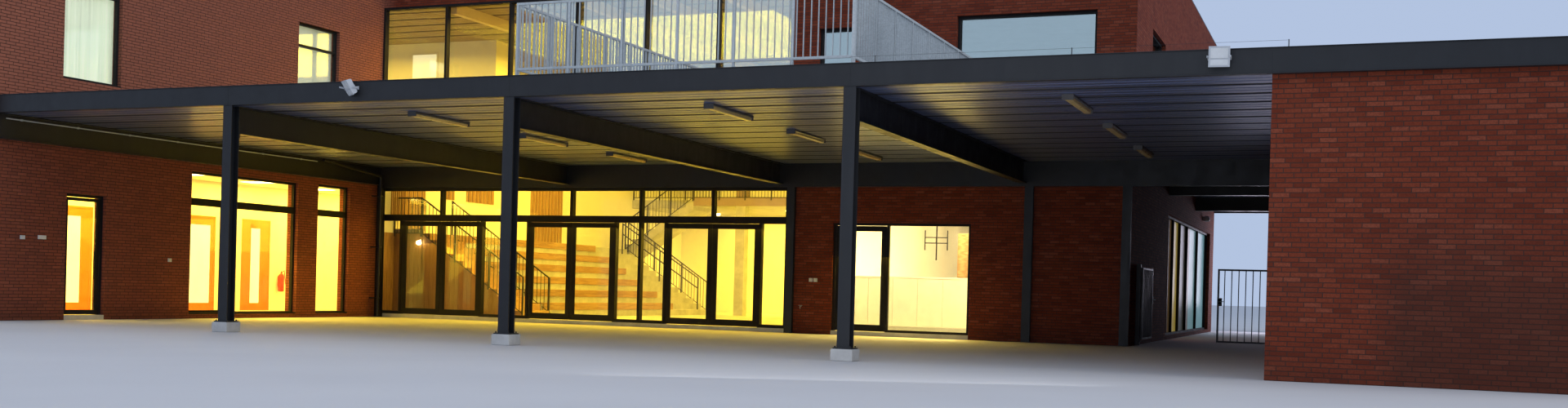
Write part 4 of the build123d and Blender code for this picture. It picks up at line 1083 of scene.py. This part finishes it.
def blinds():
    """Upright slats behind the wing's upper windows."""
    slats = Shape()
    pitch, half, thin = 0.085, 0.045, 0.0015
    x, dx, dy = WING_INNER + 0.07, 0.35 * half, 0.94 * half
    for y0, y1, z0, z1 in WING_WINDOWS[2:]:
        for i in range(round((y1 - y0) / pitch) + 1):
            y = deep(y0) + i * pitch
            outline = (
                (x - dx - thin, y - dy), (x - dx + thin, y - dy),
                (x + dx + thin, y + dy), (x + dx - thin, y + dy),
            )
            slats.push(outline, 2, z0 + 0.05, z1 - 0.02)
        slats.box(WING_INNER + 0.03, WING_INNER + 0.11, deep(y0), deep(y1), z1 - 0.03, z1)
    slats.make("wing_blinds", "plaster", BLIND)


def tiled_ceiling(name, x0, x1, y0, y1, under, columns, rows, gap):
    """Panels on a grid with lamps among them, under a thin sheet."""
    panels, lamps = Shape(), Shape()
    wide, long, rim = (x1 - x0) / columns, (y1 - y0) / rows, 0.02
    for i in range(columns):
        for j in range(rows):
            x, y = x0 + i * wide, y0 + j * long
            if i % 4 == 1 and j % 4 == 2:
                lamps.box(x + rim, x + wide - rim, y + rim, y + long - rim, under + 0.004, under + 0.018)
            else:
                panels.box(x + gap, x + wide - gap, y + gap, y + long - gap, under, under + 0.02)
    panels.box(x0, x1, y0, y1, under + 0.02, under + 0.035)
    panels.make(name + "_ceiling", "plaster")
    lamps.make(name + "_lamps", "lamp", WARM_GLOW, bevel=0.002)


def corridor():
    """Doors with tall slots, ceiling and fire bottle of the wing's corridor."""
    low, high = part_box("corridor_doors")
    wall, head, middle = high.x, high.z, (low.x + high.x) / 2
    leaves, panes, trims = Shape(), Shape(), Shape()
    edging, proud = 0.05, 0.012
    for y0, y1, stile in ((3.70, 4.66, 0.27), (7.56, 8.52, 0.10), (9.56, 10.52, 0.30)):
        a, b = deep(y0), deep(y1)
        slot = (a + stile, b - stile, low.z + 0.2, head - 0.18)
        leaves.frame(1, low.x, wall, (a, b, low.z, head), slot)
        leaves.rod((wall, b - 0.06, HANDLE), (wall + 0.05, b - 0.06, HANDLE), 0.010)
        leaves.rod((wall + 0.045, b - 0.06, HANDLE), (wall + 0.045, b - 0.18, HANDLE), 0.009)
        panes.box(middle - 0.006, middle + 0.006, *slot)
        for start, end, foot in ((a - edging, a, FLOOR), (b, b + edging, FLOOR), (a, b, head)):
            trims.box(wall, wall + proud, start, end, foot, head + edging)
    leaves.make("corridor_door_leaves", "orange_door", bevel=0.004, replaces=("corridor_doors",))
    # The door slots glow with painted light.
    panes.make("corridor_door_slots", "glass", FROSTED_PAINTED_GLOW)
    trims.make("corridor_door_trims", "orange_door", bevel=0.002)

    start, end = WING_ROOM[2:]
    rows = round((end - start) / 0.6)
    tiled_ceiling("corridor", wall, WING_INNER, start, end, LOW_CEILING, 3, rows, 0.006)

    x, y = wall + 0.09, deep(10.95)
    steps = ((0.05, 0.0), (0.075, 0.015), (0.078, 0.40), (0.06, 0.47), (0.025, 0.50), (0.02, 0.56))
    bottle = Shape().turned((x, y, 0.62), steps)
    bottle.rod((x, y, 1.15), (x + 0.05, y + 0.08, 1.20), 0.012)
    bottle.rod((x + 0.04, y + 0.07, 1.17), (x + 0.07, y + 0.09, 0.82), 0.012)
    bottle.box(wall, wall + 0.02, y - 0.04, y + 0.04, 0.75, 1.05)
    bottle.make("fire_bottle", "orange_door", RED_BOTTLE, bevel=0.001)


def block_room():
    """White units, cabinet, screen bracket and ceiling of the room beside the hall."""
    x0, x1, y0, y1 = 1.0, 4.9, deep(14.0), deep(14.6)
    top, worktop, plinth, count = 1.46, 0.04, 0.10, 6
    units = Shape().box(x0, x1, y0 + 0.02, y1, FLOOR + plinth, top - worktop)
    units.box(x0 - 0.02, x1 + 0.02, y0 - 0.01, y1 + 0.02, top - worktop, top)
    units.box(x0 + 0.05, x1 - 0.05, y0 + 0.08, y1, FLOOR, FLOOR + plinth)
    wide, gap = (x1 - x0) / count, 0.003
    for i in range(count):
        left = x0 + i * wide
        units.box(left + gap, left + wide - gap, y0, y0 + 0.019, FLOOR + 0.11, top - 0.05)
    units.make("room_units", "lamp", WHITE_UNITS, bevel=0.003)
    cabinet = Shape().box(3.95, 4.35, y0, deep(14.4), top + 0.01, 2.56)
    cabinet.box(3.97, 4.33, deep(13.98), y0, top + 0.03, 2.54)
    cabinet.make("room_cabinet", "wood", bevel=0.003)
    x, y, z = 3.35, deep(14.2), 2.39
    half, bar = 0.29, 0.012
    bracket = Shape().rod((x, y, z - 0.5), (x, y, STOREY - 0.5), 0.018)
    for level in (z - 0.07, z + 0.07):
        bracket.box(x - half, x + half, y - 0.03, y, level - bar, level + bar)
    for dx, reach in ((-half, 0.25), (0.0, 0.08), (half, 0.25)):
        bracket.box(x + dx - bar, x + dx + bar, y - 0.045, y - 0.02, z - reach, z + reach)
    bracket.make("room_screen_bracket", "frame", bevel=0.002)
    tiled_ceiling("room", *BLOCK_ROOM, STOREY - 0.6, 12, 30, 0.005)


def area_light(name, place, size, size_y, power, colour, aim=(0.0, 0.0, -1.0)):
    """A soft lamp, itself unseen by the camera."""
    data = bpy.data.lights.new(name, "AREA")
    data.shape = "RECTANGLE"
    data.size, data.size_y = size, size_y
    data.energy = power
    data.color = colour
    lamp = bpy.data.objects.new(name, data)
    bpy.context.scene.collection.objects.link(lamp)
    lamp.location = place
    lamp.rotation_mode = "QUATERNION"
    lamp.rotation_quaternion = Vector(aim).to_track_quat("-Z", "Y")
    lamp.visible_camera = False


DAY, PALE_SKY = (1.0, 0.95, 0.90), (0.95, 0.97, 1.0)
WARM, PALE_WARM = (1.0, 0.67, 0.05), (1.0, 0.80, 0.32)
COOL, DUSK = (0.86, 1.0, 0.80), (0.75, 0.70, 0.85)
OUT_AND_DOWN = (0.0, -1.0, -1.5)


def lights():
    """Plain soft light outside and lit rooms inside."""
    world = bpy.data.worlds.new("studio")
    bpy.context.scene.world = world
    bpy.context.scene.view_settings.view_transform = "Standard"
    world.use_nodes = True
    back = world.node_tree.nodes["Background"]
    back.inputs[0].default_value = (0.45, 0.55, 0.75, 1.0)
    back.inputs[1].default_value = 1.0
    area_light("studio_front", (-6.0, -52.0, 34.0), 46.0, 30.0, 3500.0, DAY, (0.15, 1.0, -0.62))
    area_light("studio_right", (60.0, -12.0, 30.0), 30.0, 40.0, 13000.0, DAY, (-1.0, 0.1, -0.40))
    area_light("hall_lobby", (-5.9, deep(16.8), 8.2), 10.0, 7.0, 2050.0, WARM)
    area_light("hall_top", (-5.9, deep(27.5), 8.2), 10.0, 5.0, 420.0, WARM)
    area_light("hall_low", (-5.0, deep(28.6), 3.80), 8.5, 3.6, 900.0, WARM)
    area_light("hall_spill", (-5.9, deep(12.5), 2.2), 11.0, 1.6, 265.0, WARM, OUT_AND_DOWN)
    area_light("upper_wing", (-15.2, deep(14.9), 8.2), 5.0, 4.0, 200.0, WARM)
    area_light("corridor", (WING_INNER - 1.0, deep(8.0), 3.40), 1.6, 15.0, 800.0, WARM)
    area_light("corridor_spill", (WING - 0.02, deep(7.6), 1.9), 1.4, 4.6, 90.0, WARM, (1.0, 0.0, -1.5))
    area_light("room", (5.4, deep(17.0), 3.45), 3.5, 5.0, 1100.0, PALE_WARM)
    area_light("room_front", (3.4, deep(12.95), 3.2), 3.6, 0.4, 130.0, PALE_WARM, (0.0, 1.0, -1.1))
    area_light("room_spill", (3.1, deep(12.5), 1.6), 3.2, 1.6, 110.0, WARM, OUT_AND_DOWN)
    area_light("canopy_front", (8.0, deep(-5.0), 0.4), 6.0, 2.0, 130.0, PALE_SKY, (-0.3, 0.6, 1.2))
    area_light("wing_top", (-15.2, deep(5.0), 8.5), 4.5, 9.0, 260.0, COOL)
    area_light("passage_end", (10.3, deep(33.0), 2.4), 3.0, 3.0, 150.0, DUSK, (0.0, -1.0, -0.1))


CAMERA_PLACE = (13.135, -20.006, 1.042)
CAMERA_YAW, CAMERA_PITCH, CAMERA_ROLL = 22.069, -0.155, 1.570
FOCAL_PIXELS, PHOTO_WIDE, SHIFT_DOWN = 1730.07, 1920, 110.13


def camera():
    """The photograph's viewpoint, with its place measured from the canopy's front face."""
    yaw, pitch, roll = (math.radians(a) for a in (CAMERA_YAW, CAMERA_PITCH, CAMERA_ROLL))
    ahead = Vector((-math.sin(yaw) * math.cos(pitch), math.cos(yaw) * math.cos(pitch), math.sin(pitch)))
    level = Vector((math.cos(yaw), math.sin(yaw), 0.0))
    upright = level.cross(ahead)
    right = level * math.cos(roll) + upright * math.sin(roll)
    up = upright * math.cos(roll) - level * math.sin(roll)
    data = bpy.data.cameras.new("view")
    data.sensor_width = 36.0
    data.lens = data.sensor_width * FOCAL_PIXELS / PHOTO_WIDE
    data.shift_y = SHIFT_DOWN / PHOTO_WIDE
    data.clip_end = 1000.0
    eye = bpy.data.objects.new("view", data)
    bpy.context.scene.collection.objects.link(eye)
    eye.matrix_world = Matrix((
        (right.x, up.x, -ahead.x, CAMERA_PLACE[0]),
        (right.y, up.y, -ahead.y, deep(CAMERA_PLACE[1])),
        (right.z, up.z, -ahead.z, CAMERA_PLACE[2]),
        (0.0, 0.0, 0.0, 1.0),
    ))
    bpy.context.scene.camera = eye


def stage_floor():
    """A plain pale floor."""
    shape = bmesh.new()
    reach, below = 400.0, -0.002
    square = ((-reach, -reach), (reach, -reach), (reach, reach), (-reach, reach))
    shape.faces.new([shape.verts.new((x, y, below)) for x, y in square])
    data = bpy.data.meshes.new("floor")
    shape.to_mesh(data)
    shape.free()
    p = Paint("pale_floor", (0.62, 0.61, 0.60), 0.85)
    p.set("Base Color", p.mix(p.noise(0.35, 5.0), (0.56, 0.55, 0.55), (0.64, 0.63, 0.62)))
    data.materials.append(p.material)
    floor = bpy.data.objects.new("floor", data)
    bpy.context.scene.collection.objects.link(floor)


for build in (
    canopy_deck, footings, roof_sheets, terrace, doors, window_sashes, strip_lights, floodlights,
    gate_fittings, wall_boxes, garden_tap, passage_lamp, pipes, safety_line, fascia_trim, steel_plates,
    hall_guards, tribune_boards, stair_cladding, hall_wall_strips, gallery_trim, hall_ceiling,
    upstairs_pane, hall_lamps, blinds, corridor, block_room, lights, camera, stage_floor,
):
    build()
